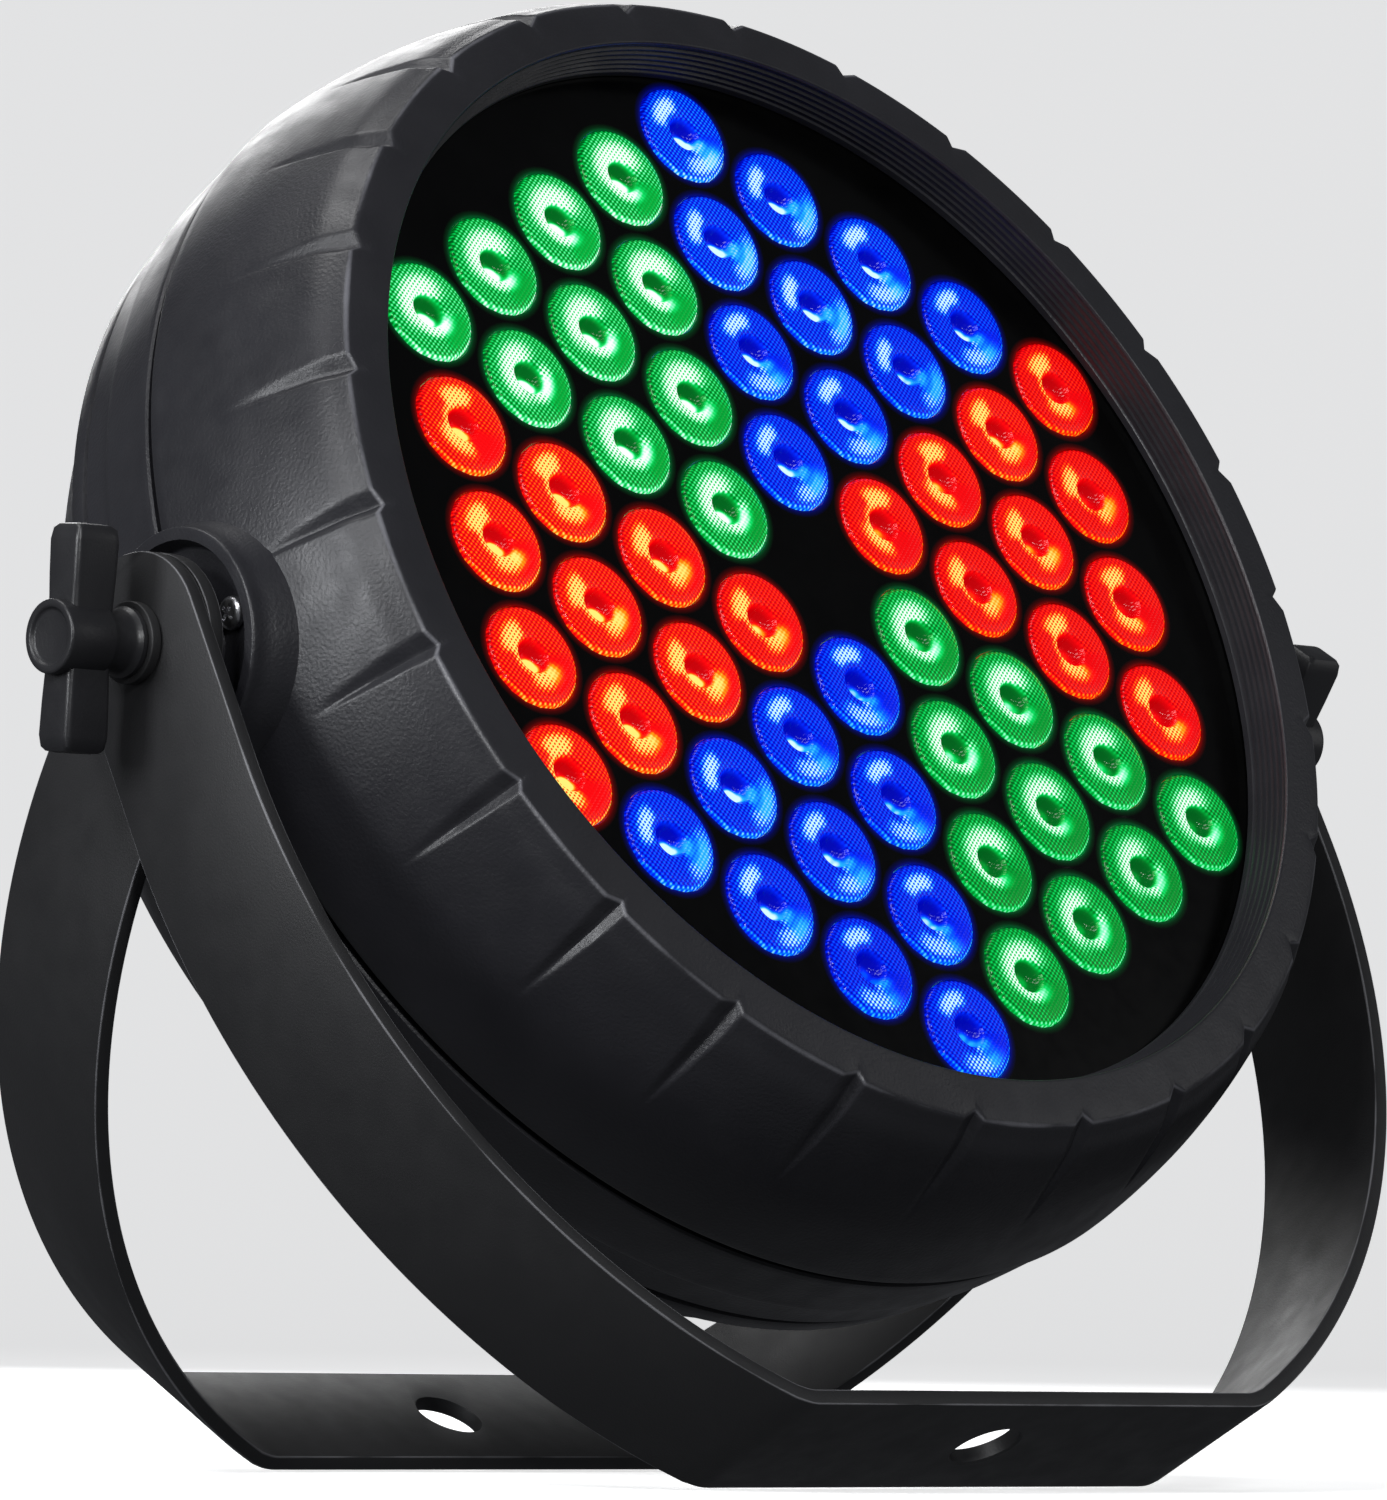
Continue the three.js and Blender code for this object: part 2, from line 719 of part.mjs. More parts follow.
// ---------- assembly ----------
const head = new THREE.Group();
head.add(
  frontHousing(),
  rearHousing(),
  facePlate(),
  ...SECTORS.map(([name, degrees, colour]) => lensArray(name, degrees, colour)),
  ledBoard(),
  heatSink(),
  powerSupply(),
  controlBoard(),
  rearPanel(),
  displayWindow(),
  ...BUTTONS.map(([name, x]) => pushButton(name, x)),
  signalInput(),
  signalOutput(),
  powerInlet(),
  fuseHolder(),
  safetyEye(),
);
SCREW_ANGLES.forEach((angle, i) => {
  head.add(
    backScrew(`panel_screw_${i + 1}`, PANEL_SCREW_REACH, angle, onPanel),
    backScrew(`shell_screw_${i + 1}`, SHELL_SCREW_REACH, angle, backWall - GAP),
  );
});
head.rotation.x = Math.PI / 2 - rad(HEAD_TILT);
const facing = new THREE.Matrix4().makeRotationX(head.rotation.x);
head.position.set(0, PIVOT_DROP, PLATE_FORWARD).applyMatrix4(facing);

const pivot = new THREE.Group();
pivot.add(head);
for (const [word, side] of [
  ["left", -1],
  ["right", 1],
]) {
  pivot.add(
    pivotBoss(`${word}_pivot_boss`, side),
    bossScrew(`${word}_boss_screw_front`, side, 1),
    bossScrew(`${word}_boss_screw_rear`, side, -1),
    washer(`${word}_friction_disc`, side, 12, BOSS_FACE + GAP, INNER_FACE - GAP, fibreWasher),
    washer(`${word}_knob_washer`, side, 7.2, OUTER_FACE + GAP, KNOB_START - GAP, bracketPaint),
    stud(`${word}_stud`, side),
    knob(`${word}_knob`, side, side < 0 ? LEFT_KNOB_TURN : RIGHT_KNOB_TURN),
  );
}
pivot.add(
  placedBracket("front_bracket", -SPLAY, -PAIR_OFFSET),
  placedBracket("rear_bracket", SPLAY, PAIR_OFFSET),
);
pivot.position.z = pivotHeight;

const lamp = new THREE.Group();
lamp.add(pivot);
lamp.updateMatrixWorld(true);
const extent = new THREE.Box3().setFromObject(lamp, true);
const middle = extent.getCenter(new THREE.Vector3());
pivot.position.x -= middle.x;
pivot.position.y -= middle.y;

export default lamp;
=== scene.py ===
"""Looks of the slim LED par can on two hinged strap brackets. Metres in Blender, millimetres below."""
import json
import math
import random

import bmesh
import bpy
from mathutils import Matrix, Vector
from mathutils.geometry import delaunay_2d_cdt


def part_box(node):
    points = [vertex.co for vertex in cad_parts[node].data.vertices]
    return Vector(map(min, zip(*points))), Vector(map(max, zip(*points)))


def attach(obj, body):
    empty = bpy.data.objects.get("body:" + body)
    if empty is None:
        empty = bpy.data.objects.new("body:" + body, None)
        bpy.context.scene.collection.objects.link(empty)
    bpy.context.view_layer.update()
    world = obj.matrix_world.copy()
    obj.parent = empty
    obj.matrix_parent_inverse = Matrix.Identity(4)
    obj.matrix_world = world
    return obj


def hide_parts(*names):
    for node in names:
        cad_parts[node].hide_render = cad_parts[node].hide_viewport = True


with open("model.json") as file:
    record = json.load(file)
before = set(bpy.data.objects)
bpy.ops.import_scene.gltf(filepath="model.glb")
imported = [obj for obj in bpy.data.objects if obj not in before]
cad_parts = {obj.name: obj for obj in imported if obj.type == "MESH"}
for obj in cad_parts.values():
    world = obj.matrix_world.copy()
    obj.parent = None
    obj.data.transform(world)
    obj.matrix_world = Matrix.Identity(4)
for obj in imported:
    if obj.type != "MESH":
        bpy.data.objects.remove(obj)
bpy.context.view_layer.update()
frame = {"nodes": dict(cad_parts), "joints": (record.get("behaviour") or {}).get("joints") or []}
MM = 0.001
TURN = 2 * math.pi


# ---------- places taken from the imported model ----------
def joint(name):
    return next(j for j in frame["joints"] if j["name"] == name)


def high_side(node, axis):
    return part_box(node)[1][axis] / MM


def low_side(node, axis):
    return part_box(node)[0][axis] / MM


PIVOT = Vector(joint("front_bracket_hinge")["pos_m"])
RIGHT = Vector((1, 0, 0))
OPTICAL = Vector(joint("menu_press")["axis"]).normalized()
UP_FACE = OPTICAL.cross(RIGHT)
PIVOT_DROP = 7.5
PLATE_FORWARD = 33.0


def basis(x, y, z, origin):
    rows = [[x[i], y[i], z[i], origin[i]] for i in range(3)]
    return Matrix(rows + [[0, 0, 0, 1]])


HEAD = basis(RIGHT, UP_FACE, OPTICAL, PIVOT + (PIVOT_DROP * UP_FACE + PLATE_FORWARD * OPTICAL) * MM)

LED_PITCH = 23.0
LENS_RADIUS = 9.9
PLATE_RADIUS = 107.6
PLATE_THICKNESS = 2.0
SEAM_DEPTH = 33.5
SEAM_GAP = 1.7
BACK_WALL = -92.0
ON_WALL = BACK_WALL - 0.3
NOTCHES = 26


# ---------- mesh helpers (drawn in millimetres, placed by a matrix) ----------
def finished(name, mesh, place, sharp_degrees=35):
    mesh.transform(place @ Matrix.Scale(MM, 4))
    mesh.shade_smooth()
    mesh.set_sharp_from_angle(angle=math.radians(sharp_degrees))
    made = bpy.data.objects.new(name, mesh)
    bpy.context.scene.collection.objects.link(made)
    return made


def cleaned(bm):
    bmesh.ops.remove_doubles(bm, verts=bm.verts, dist=1e-4)
    bmesh.ops.recalc_face_normals(bm, faces=bm.faces)
    return bm


def mesh_of(bm, name):
    mesh = bpy.data.meshes.new(name)
    bm.to_mesh(mesh)
    bm.free()
    return mesh


def curve_through(points, steps=6):
    """A smooth line through the points."""
    out = []
    last = len(points) - 1
    for i in range(last):
        before = Vector(points[max(i - 1, 0)])
        a = Vector(points[i])
        b = Vector(points[i + 1])
        after = Vector(points[min(i + 2, last)])
        for k in range(steps):
            t = k / steps
            bend = (b - before) * t + (2 * before - 5 * a + 4 * b - after) * t * t
            out.append(a + 0.5 * (bend + (3 * a - before - 3 * b + after) * t ** 3))
    out.append(Vector(points[last]))
    return [tuple(p) for p in out]


def rounded(points, radius, steps=4, closed=True):
    """The outline with every corner rounded off."""
    out = []
    count = len(points)
    for i, point in enumerate(points):
        corner = Vector(point)
        if not closed and i in (0, count - 1):
            out.append(tuple(corner))
            continue
        before = Vector(points[i - 1]) - corner
        after = Vector(points[(i + 1) % count]) - corner
        reach = min(radius, before.length * 0.49, after.length * 0.49)
        start = corner + before.normalized() * reach
        end = corner + after.normalized() * reach
        for k in range(steps + 1):
            t = k / steps
            out.append(tuple(start * (1 - t) ** 2 + corner * 2 * t * (1 - t) + end * t * t))
    return out


def join_round(bm, sections, closed):
    """Joins each section to the next, all the way round."""
    count = len(sections[0])
    edges = count if closed else count - 1
    for i, section in enumerate(sections):
        following = sections[(i + 1) % len(sections)]
        for k in range(edges):
            j = (k + 1) % count
            bm.faces.new((section[k], following[k], following[j], section[j]))


def join_along(bm, rings):
    """Joins each ring to the next and closes both ends."""
    for a, b in zip(rings, rings[1:]):
        for i in range(len(a)):
            j = (i + 1) % len(a)
            bm.faces.new((a[i], a[j], b[j], b[i]))
    bm.faces.new(list(reversed(rings[0])))
    bm.faces.new(rings[-1])


def add_turned(bm, profile, segments, shift=(0, 0, 0), closed=False, shape=None):
    """Adds a body of revolution about z; shape may move each point, given (radius, z, angle)."""
    sections = []
    for i in range(segments):
        angle = TURN * i / segments
        section = []
        for r, z in profile:
            radius = shape(r, z, angle) if shape else r
            x = shift[0] + radius * math.cos(angle)
            y = shift[1] + radius * math.sin(angle)
            section.append(bm.verts.new((x, y, shift[2] + z)))
        sections.append(section)
    join_round(bm, sections, closed)


def turned(name, profile, segments, place, closed=False, sharp_degrees=35):
    """A body of revolution; its profile runs from axis to axis unless closed."""
    bm = bmesh.new()
    add_turned(bm, profile, segments, closed=closed)
    return finished(name, mesh_of(cleaned(bm), name), place, sharp_degrees)


def add_pulled(bm, outline, low, high, edge=0.4):
    """Adds a prism along z with its rims rounded off."""
    def ring(inset, z):
        centre = sum((Vector(p) for p in outline), Vector((0, 0))) / len(outline)
        verts = []
        for p in outline:
            out = Vector(p) - centre
            scale = 1 - inset / max(out.length, inset)
            verts.append(bm.verts.new((*(centre + out * scale), z)))
        return verts

    levels = [(edge, low), (edge * 0.3, low + edge * 0.3), (0, low + edge)]
    levels += [(0, high - edge), (edge * 0.3, high - edge * 0.3), (edge, high)]
    join_along(bm, [ring(inset, z) for inset, z in levels])


def pulled(name, outline, low, high, place, edge=0.4):
    bm = bmesh.new()
    add_pulled(bm, outline, low, high, edge)
    return finished(name, mesh_of(cleaned(bm), name), place)


def rectangle(width, height, x=0, y=0, corner=1.5):
    w = width / 2
    h = height / 2
    return rounded([(x - w, y - h), (x + w, y - h), (x + w, y + h), (x - w, y + h)], corner)


def circle(radius, segments, x=0, y=0):
    spots = [TURN * i / segments for i in range(segments)]
    return [(x + radius * math.cos(a), y + radius * math.sin(a)) for a in spots]


def drill(radius, low, high, segments, place):
    """A cylinder along z to cut with."""
    return turned("drill", [(0, low), (radius, low), (radius, high), (0, high)], segments, place)


def cut(target, cutters, union=False):
    """Cuts the other objects out of the target (or joins them to it), then removes them."""
    for cutter in cutters:
        change = target.modifiers.new("cut", "BOOLEAN")
        change.operation = "UNION" if union else "DIFFERENCE"
        change.solver = "EXACT"
        change.object = cutter
    graph = bpy.context.evaluated_depsgraph_get()
    mesh = bpy.data.meshes.new_from_object(target.evaluated_get(graph))
    target.modifiers.clear()
    target.data = mesh
    for cutter in cutters:
        bpy.data.objects.remove(cutter)
    mesh.shade_smooth()
    mesh.set_sharp_from_angle(angle=math.radians(35))
    return target


def dress(piece, material, body, slot, *nodes):
    """Gives a piece its material, hides the nodes it stands for and hangs it on the body it moves with. The
    slot is not used.
    """
    piece.data.materials.clear()
    piece.data.materials.append(material)
    if nodes:
        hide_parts(*nodes)
    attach(piece, body)


# ---------- material helpers ----------
class Paint:
    """A node material being put together."""

    def __init__(self, name, color, roughness, metallic=0.0):
        self.material = bpy.data.materials.new(name)
        self.material.use_nodes = True
        self.tree = self.material.node_tree
        self.shader = self.tree.nodes["Principled BSDF"]
        self.shader.inputs["Base Color"].default_value = (*color, 1)
        self.shader.inputs["Roughness"].default_value = roughness
        self.shader.inputs["Metallic"].default_value = metallic
        self.place = self.tree.nodes.new("ShaderNodeTexCoord").outputs["Object"]

    def link(self, source, target):
        """Sets a socket to a constant or joins another node's output to it."""
        if isinstance(source, bpy.types.NodeSocket):
            self.tree.links.new(source, target)
        else:
            target.default_value = source

    def set(self, name, value):
        self.link(value, self.shader.inputs[name])

    def node(self, kind, inputs, **settings):
        made = self.tree.nodes.new(kind)
        for key, value in settings.items():
            setattr(made, key, value)
        for key, value in inputs.items():
            self.link(value, made.inputs[key])
        return made

    def attribute(self, name, output="Fac"):
        return self.node("ShaderNodeAttribute", {}, attribute_name=name).outputs[output]

    def math(self, operation, a, b=0.0, clamp=False):
        return self.node("ShaderNodeMath", {0: a, 1: b}, operation=operation, use_clamp=clamp).outputs[0]

    def step(self, value, low, high):
        """Rises smoothly from 0 at low to 1 at high."""
        inputs = {"Value": value, "From Min": low, "From Max": high}
        return self.node("ShaderNodeMapRange", inputs, interpolation_type="SMOOTHSTEP").outputs["Result"]

    def span(self, value, low, high, from_low=0.0, from_high=1.0):
        """Rises evenly from low to high as the value goes from from_low to from_high."""
        inputs = {"Value": value, "From Min": from_low, "From Max": from_high, "To Min": low, "To Max": high}
        return self.node("ShaderNodeMapRange", inputs).outputs["Result"]

    def noise(self, scale, detail=3.0):
        inputs = {"Vector": self.place, "Scale": scale, "Detail": detail}
        return self.node("ShaderNodeTexNoise", inputs).outputs["Fac"]

    def ramp(self, value, stops):
        made = self.node("ShaderNodeValToRGB", {"Fac": value})
        points = made.color_ramp.elements
        for i, (position, color) in enumerate(stops):
            stop = points[i] if i < 2 else points.new(position)
            stop.position = position
            stop.color = (*color, 1)
        return made.outputs["Color"]

    def edges(self):
        """1 on edges that get a painted highlight, from the edge attribute, broken up by noise; 0 elsewhere.
        """
        broken = self.span(self.noise(70.0), 0.45, 1.0, 0.35, 0.6)
        return self.math("MULTIPLY", self.attribute("edge"), broken, clamp=True)

    def bump(self, height, strength, distance):
        inputs = {"Height": height, "Strength": strength, "Distance": distance}
        self.set("Normal", self.node("ShaderNodeBump", inputs).outputs["Normal"])

    def color(self, value, stops):
        self.set("Base Color", self.ramp(value, stops))

    def rough(self, value):
        self.set("Roughness", value)


def grained(name, dark, light, rough, grain, depth, edge_highlight_colour, metallic=0.0):
    """Moulded or painted surface: fine grain, faint mottling and a painted highlight on the edges marked in
    the edge attribute.
    """
    paint = Paint(name, dark, sum(rough) / 2, metallic)
    mottle = paint.noise(38.0, 4.0)
    blend = paint.span(mottle, 0.0, 0.5, 0.3, 0.7)
    tone = paint.math("ADD", blend, paint.edges(), clamp=True)
    # the last colour is a painted highlight, used where the edge attribute marks an edge
    paint.color(tone, [(0.0, dark), (0.5, light), (1.0, edge_highlight_colour)])
    paint.rough(paint.span(paint.noise(160.0), rough[0], rough[1], 0.3, 0.7))
    paint.bump(paint.noise(grain, 2.0), 0.35, depth)
    return paint.material


# ---------- materials ----------
def shell_plastic():
    return grained(
        "shell_plastic", (0.014, 0.014, 0.017), (0.020, 0.020, 0.024), (0.36, 0.46), 1500.0, 0.00022,
        # painted highlight colour for the front corner line
        (0.13, 0.13, 0.145),
    )


def bracket_paint():
    return grained(
        "bracket_paint", (0.013, 0.013, 0.014), (0.017, 0.017, 0.018), (0.48, 0.58), 2400.0, 0.00012,
        # painted highlight colour for the strap edges
        (0.16, 0.16, 0.17),
    )


def knob_plastic():
    return grained(
        "knob_plastic", (0.012, 0.012, 0.014), (0.018, 0.018, 0.020), (0.34, 0.46), 1800.0, 0.00010,
        (0.06, 0.06, 0.065),
    )


def panel_paint():
    return grained(
        "panel_paint", (0.018, 0.018, 0.020), (0.026, 0.026, 0.028), (0.48, 0.62), 1500.0, 0.00018,
        (0.10, 0.10, 0.105),
    )


def socket_plastic():
    return grained(
        "socket_plastic", (0.008, 0.008, 0.009), (0.013, 0.013, 0.014), (0.36, 0.5), 2200.0, 0.00008,
        (0.04, 0.04, 0.042),
    )


def button_rubber():
    return grained(
        "button_rubber", (0.055, 0.055, 0.060), (0.075, 0.075, 0.080), (0.6, 0.75), 2400.0, 0.00012,
        (0.13, 0.13, 0.135),
    )


def fibre():
    return grained(
        "fibre", (0.022, 0.019, 0.016), (0.045, 0.040, 0.034), (0.75, 0.9), 1300.0, 0.00025,
        (0.09, 0.08, 0.07),
    )


def supply_case():
    return grained(
        "supply_case", (0.24, 0.25, 0.26), (0.32, 0.33, 0.34), (0.4, 0.6), 900.0, 0.0001,
        (0.5, 0.5, 0.5),
    )


def brushed(name, dark, light, rough):
    """Turned or rolled metal with fine streaks."""
    paint = Paint(name, light, rough[0], 1.0)
    stretched = paint.node("ShaderNodeMapping", {"Vector": paint.place, "Scale": (1.0, 9.0, 1.0)})
    streaks = {"Vector": stretched.outputs["Vector"], "Scale": 500.0}
    fine = paint.node("ShaderNodeTexNoise", streaks).outputs["Fac"]
    paint.color(fine, [(0.3, dark), (0.7, light)])
    paint.rough(paint.span(fine, rough[0], rough[1], 0.3, 0.7))
    paint.bump(fine, 0.1, 0.00002)
    return paint.material


def circuit_board():
    paint = Paint("circuit_board", (0.02, 0.12, 0.06), 0.4)
    cells = {"Vector": paint.place, "Scale": 260.0}
    tracks = paint.node("ShaderNodeTexVoronoi", cells, distance="MANHATTAN").outputs["Distance"]
    paint.color(tracks, [(0.1, (0.05, 0.2, 0.1)), (0.4, (0.012, 0.09, 0.045))])
    paint.bump(tracks, 0.2, 0.0001)
    return paint.material


def board_white():
    paint = Paint("board_white", (0.72, 0.72, 0.69), 0.5)
    paint.color(paint.noise(220.0), [(0.35, (0.66, 0.66, 0.62)), (0.65, (0.78, 0.78, 0.75))])
    paint.bump(paint.noise(1800.0), 0.2, 0.00008)
    return paint.material


def display_glass():
    paint = Paint("display_glass", (0.010, 0.013, 0.018), 0.08)
    paint.color(paint.noise(60.0), [(0.3, (0.008, 0.010, 0.014)), (0.7, (0.016, 0.020, 0.028))])
    paint.rough(paint.span(paint.noise(400.0), 0.05, 0.14, 0.3, 0.7))
    paint.set("Coat Weight", 0.6)
    return paint.material


def gloss_plate():
    """Glossy black; light that spills from the lenses is held in the glow attribute."""
    paint = Paint("gloss_plate", (0.0012, 0.0012, 0.0014), 0.14)
    paint.color(paint.noise(90.0), [(0.3, (0.001, 0.001, 0.001)), (0.7, (0.002, 0.002, 0.002))])
    paint.rough(paint.span(paint.noise(300.0), 0.16, 0.22, 0.3, 0.7))
    paint.set("Specular IOR Level", 0.12)
    paint.set("Emission Color", paint.attribute("glow", "Color"))
    paint.set("Emission Strength", 1.0)
    return paint.material


HOT_COLOURS = {
    "red": [
        (0.0, (0.16, 0.000, 0.001)),
        (0.25, (0.60, 0.000, 0.002)),
        (0.45, (1.00, 0.002, 0.003)),
        (0.62, (1.00, 0.040, 0.002)),
        (0.80, (1.00, 0.36, 0.004)),
        (1.0, (1.00, 0.90, 0.20)),
    ],
    "green": [
        (0.0, (0.000, 0.040, 0.006)),
        (0.25, (0.000, 0.140, 0.012)),
        (0.42, (0.000, 0.400, 0.040)),
        (0.60, (0.003, 0.760, 0.140)),
        (0.78, (0.270, 1.000, 0.600)),
        (0.95, (1.00, 1.00, 1.00)),
    ],
    "blue": [
        (0.0, (0.000, 0.000, 0.160)),
        (0.25, (0.000, 0.003, 0.450)),
        (0.45, (0.000, 0.024, 0.950)),
        (0.62, (0.000, 0.120, 1.00)),
        (0.80, (0.020, 0.520, 1.00)),
        (1.0, (0.70, 1.00, 1.00)),
    ],
}
BEAD_PITCH = 0.78


def lens_material(colour):
    """A lit collimating lens: beaded front, darker well, hot lobes round it.

    The lens_spot attribute holds (x, y) across one lens, 1 at its rim, and a turn for its lobes;
    lens_heat says how bright that lens is.
    """
    paint = Paint("lens_" + colour, HOT_COLOURS[colour][0][1], 0.16)
    heat = paint.attribute("lens_heat")
    x, y, turn = paint.node("ShaderNodeSeparateXYZ", {0: paint.attribute("lens_spot", "Vector")}).outputs

    def times(a, b):
        return paint.math("MULTIPLY", a, b)

    def plus(a, b):
        return paint.math("ADD", a, b)

    def less(a, b):
        return paint.math("SUBTRACT", a, b)

    def lobe(degrees, low, high, swing=1.0):
        """1 towards the direction, 0 away from it."""
        away = less(plus(angle, times(turn, swing)), math.radians(degrees))
        return paint.step(paint.math("COSINE", away), low, high)

    def ring(start, full, fade, end):
        return times(paint.step(radius, start, full), less(1.0, paint.step(radius, fade, end)))

    radius = paint.math("SQRT", plus(times(x, x), times(y, y)))
    angle = paint.math("ARCTAN2", y, x)

    if colour == "green":
        hot = times(ring(0.29, 0.38, 0.42, 0.86), lobe(135, -0.45, 0.8))
        hot = plus(hot, times(times(ring(0.29, 0.37, 0.40, 0.66), lobe(-75, 0.0, 1.0, 1.6)), 0.9))
    elif colour == "red":
        hot = times(ring(0.34, 0.50, 0.58, 0.86), lobe(125, 0.72, 1.0, 1.4))
        hot = plus(hot, times(times(ring(0.29, 0.38, 0.46, 0.80), lobe(-85, 0.5, 1.0, 1.8)), 0.95))
        hot = plus(hot, times(times(ring(0.29, 0.36, 0.38, 0.56), lobe(170, -0.1, 1.0)), 0.55))
    else:
        hot = times(times(ring(0.38, 0.56, 0.62, 0.88), lobe(128, 0.70, 1.0, 1.2)), 0.95)
        hot = plus(hot, times(times(ring(0.44, 0.66, 0.78, 0.98), lobe(-66, 0.55, 1.0, 1.5)), 0.7))
        hot = plus(hot, times(times(ring(0.14, 0.28, 0.40, 0.62), lobe(-50, 0.72, 1.0)), 0.65))

    stretch = TURN * LENS_RADIUS / BEAD_PITCH / math.sqrt(2)
    across = paint.math("COSINE", times(plus(x, y), stretch))
    along = paint.math("COSINE", times(less(x, y), stretch))
    beads = paint.span(plus(across, along), 0.0, 1.0, -1.2, 1.6)
    plain = times(lobe(-38, 0.72, 0.97, 0.5), less(1.0, paint.step(radius, 0.78, 0.92)))
    beaded = times(paint.step(radius, 0.30, 0.38), less(1.0, times(plain, 0.85)))
    sparkle = times(times(less(beads, 0.36), beaded), plus(0.42, times(hot, 0.75)))

    glint_x = less(x, 0.05)
    glint_y = plus(y, 0.10)
    glint_reach = paint.math("SQRT", plus(times(glint_x, glint_x), times(glint_y, glint_y)))
    glint = less(1.0, paint.step(glint_reach, 0.09, 0.23))
    well = ring(0.10, 0.20, 0.26, 0.34)
    rim = paint.step(radius, 0.91, 0.965)
    rim_side = lobe(-75, -0.5, 0.9, 0.0)

    level = plus(0.37, times(hot, 0.60))
    level = plus(level, sparkle)
    level = less(level, times(well, 0.20))
    level = plus(level, times(times(glint, paint.step(heat, 0.1, 0.7)), 1.2))
    level = plus(level, times(times(rim, rim_side), 0.25))
    level = less(level, times(less(1.0, rim_side), times(rim, 0.16)))
    level = paint.math("MULTIPLY", level, paint.span(heat, 0.82, 1.16), clamp=True)
    paint.set("Emission Color", paint.ramp(level, HOT_COLOURS[colour]))
    paint.set("Emission Strength", 1.0)
    paint.set("Specular IOR Level", 0.2)
    paint.bump(beads, 0.3, 0.0002)
    return paint.material


# ---------- LED pattern ----------
def direction(degrees):
    return Vector((math.cos(math.radians(degrees)), math.sin(math.radians(degrees))))


def sector_spots(spoke):
    """Ten LEDs: a spoke of four and the shorter rows clockwise of it."""
    outwards = direction(spoke)
    sideways = direction(spoke - 120)
    counts = [(ring, step) for ring in range(1, 5) for step in range(ring)]
    return [outwards * ring * LED_PITCH + sideways * step * LED_PITCH for ring, step in counts]


SECTORS = [
    ("blue_top", 90, "blue"),
    ("red_right", 30, "red"),
    ("green_right", -30, "green"),
    ("blue_bottom", -90, "blue"),
    ("red_left", -150, "red"),
    ("green_left", 150, "green"),
]
MOST_TURN = 0.45
HEAT_SPREAD = 0.12
LENS_WELL = [(0.0, -2.3), (1.2, -2.2), (2.1, -1.7), (2.8, -0.8), (3.2, 0.1), (3.5, 0.55)]
LENS_CROWN = [(4.1, 0.72), (6.0, 0.90), (8.0, 0.86), (9.1, 0.66), (9.6, 0.36), (9.85, -0.2)]
LENS_CUP = [(9.85, -3.0), (8.2, -6.0), (5.6, -9.4), (0.0, -9.5)]


def lens_group(name, spoke, colour, rng):
    """Ten lenses of one colour, each turned and heated a little differently."""
    profile = LENS_WELL + LENS_CROWN + LENS_CUP
    bm = bmesh.new()
    spot_layer = bm.verts.layers.float_vector.new("lens_spot")
    heat_layer = bm.verts.layers.float.new("lens_heat")
    for spot in sector_spots(spoke):
        first = len(bm.verts)
        add_turned(bm, profile, 48, shift=(spot.x, spot.y, 0))
        bm.verts.ensure_lookup_table()
        turn = rng.uniform(-MOST_TURN, MOST_TURN)
        towards_top_left = (spot.y - spot.x) / (8 * LED_PITCH)
        heat = 0.5 + 0.55 * towards_top_left + rng.uniform(-HEAT_SPREAD, HEAT_SPREAD)
        heat = min(1.0, max(0.0, heat))
        for vert in list(bm.verts)[first:]:
            away = (vert.co.xy - spot) / LENS_RADIUS
            vert[spot_layer] = (away.x, away.y, turn)
            vert[heat_layer] = heat
    cleaned(bm)
    made = finished("lenses_" + name, mesh_of(bm, name), HEAD)
    dress(made, LENS_PAINT[colour], "head", "lens_" + colour, "lens_array_" + name)


GLOW_COLOURS = {"red": (0.16, 0.0, 0.0), "green": (0.0, 0.07, 0.015), "blue": (0.0, 0.002, 0.18)}


def face_plate():
    """Glossy disc with a round hole for each lens and a halo of spilled light round it."""
    bore = LENS_RADIUS + 0.25
    halo_rings = [(0.0, 1.0), (0.5, 0.30), (1.1, 0.06), (1.35, 0.0)]
    points = []
    edges = []
    glow = []

    def loop(radius, segments, x, y, colour):
        start = len(points)
        for p in circle(radius, segments, x, y):
            points.append(Vector(p))
            glow.append(colour)
        edges.extend((start + i, start + (i + 1) % segments) for i in range(segments))

    dark = (0, 0, 0)
    loop(PLATE_RADIUS, 160, 0, 0, dark)
    spots = [(spot, colour) for _, spoke, colour in SECTORS for spot in sector_spots(spoke)]
    for spot, colour in spots:
        for away, share in halo_rings:
            loop(bore + away, 40, spot.x, spot.y, tuple(c * share for c in GLOW_COLOURS[colour]))
    verts, _, faces, origin, _, _ = delaunay_2d_cdt(points, edges, [], 1, 1e-5)
    bm = bmesh.new()
    layer = bm.verts.layers.float_color.new("glow")
    front = []
    back = []
    for i, p in enumerate(verts):
        colour = glow[origin[i][0]] if origin[i] else dark
        for side, z, shade in ((front, 0.0, colour), (back, -PLATE_THICKNESS, dark)):
            vert = bm.verts.new((p.x, p.y, z))
            vert[layer] = (*shade, 1)
            side.append(vert)
    centres = [spot for spot, _ in spots]
    for face in faces:
        middle = sum((verts[i] for i in face), Vector((0, 0))) / len(face)
        if min((middle - c).length for c in centres) > bore * 0.99:
            bm.faces.new([front[i] for i in face])
            bm.faces.new([back[i] for i in reversed(face)])
    borders = [e for e in bm.edges if e.is_boundary and e.verts[0].co.z == 0]
    index = {vert: i for i, vert in enumerate(front)}
    for edge in borders:
        a, b = edge.verts
        bm.faces.new((a, b, back[index[b]], back[index[a]]))
    bmesh.ops.recalc_face_normals(bm, faces=bm.faces)
    loose = [v for v in bm.verts if not v.link_faces]
    bmesh.ops.delete(bm, geom=loose, context="VERTS")
    made = finished("front_plate", mesh_of(bm, "front_plate"), HEAD)
    dress(made, gloss_plate(), "head", "gloss_plate", "face_plate")


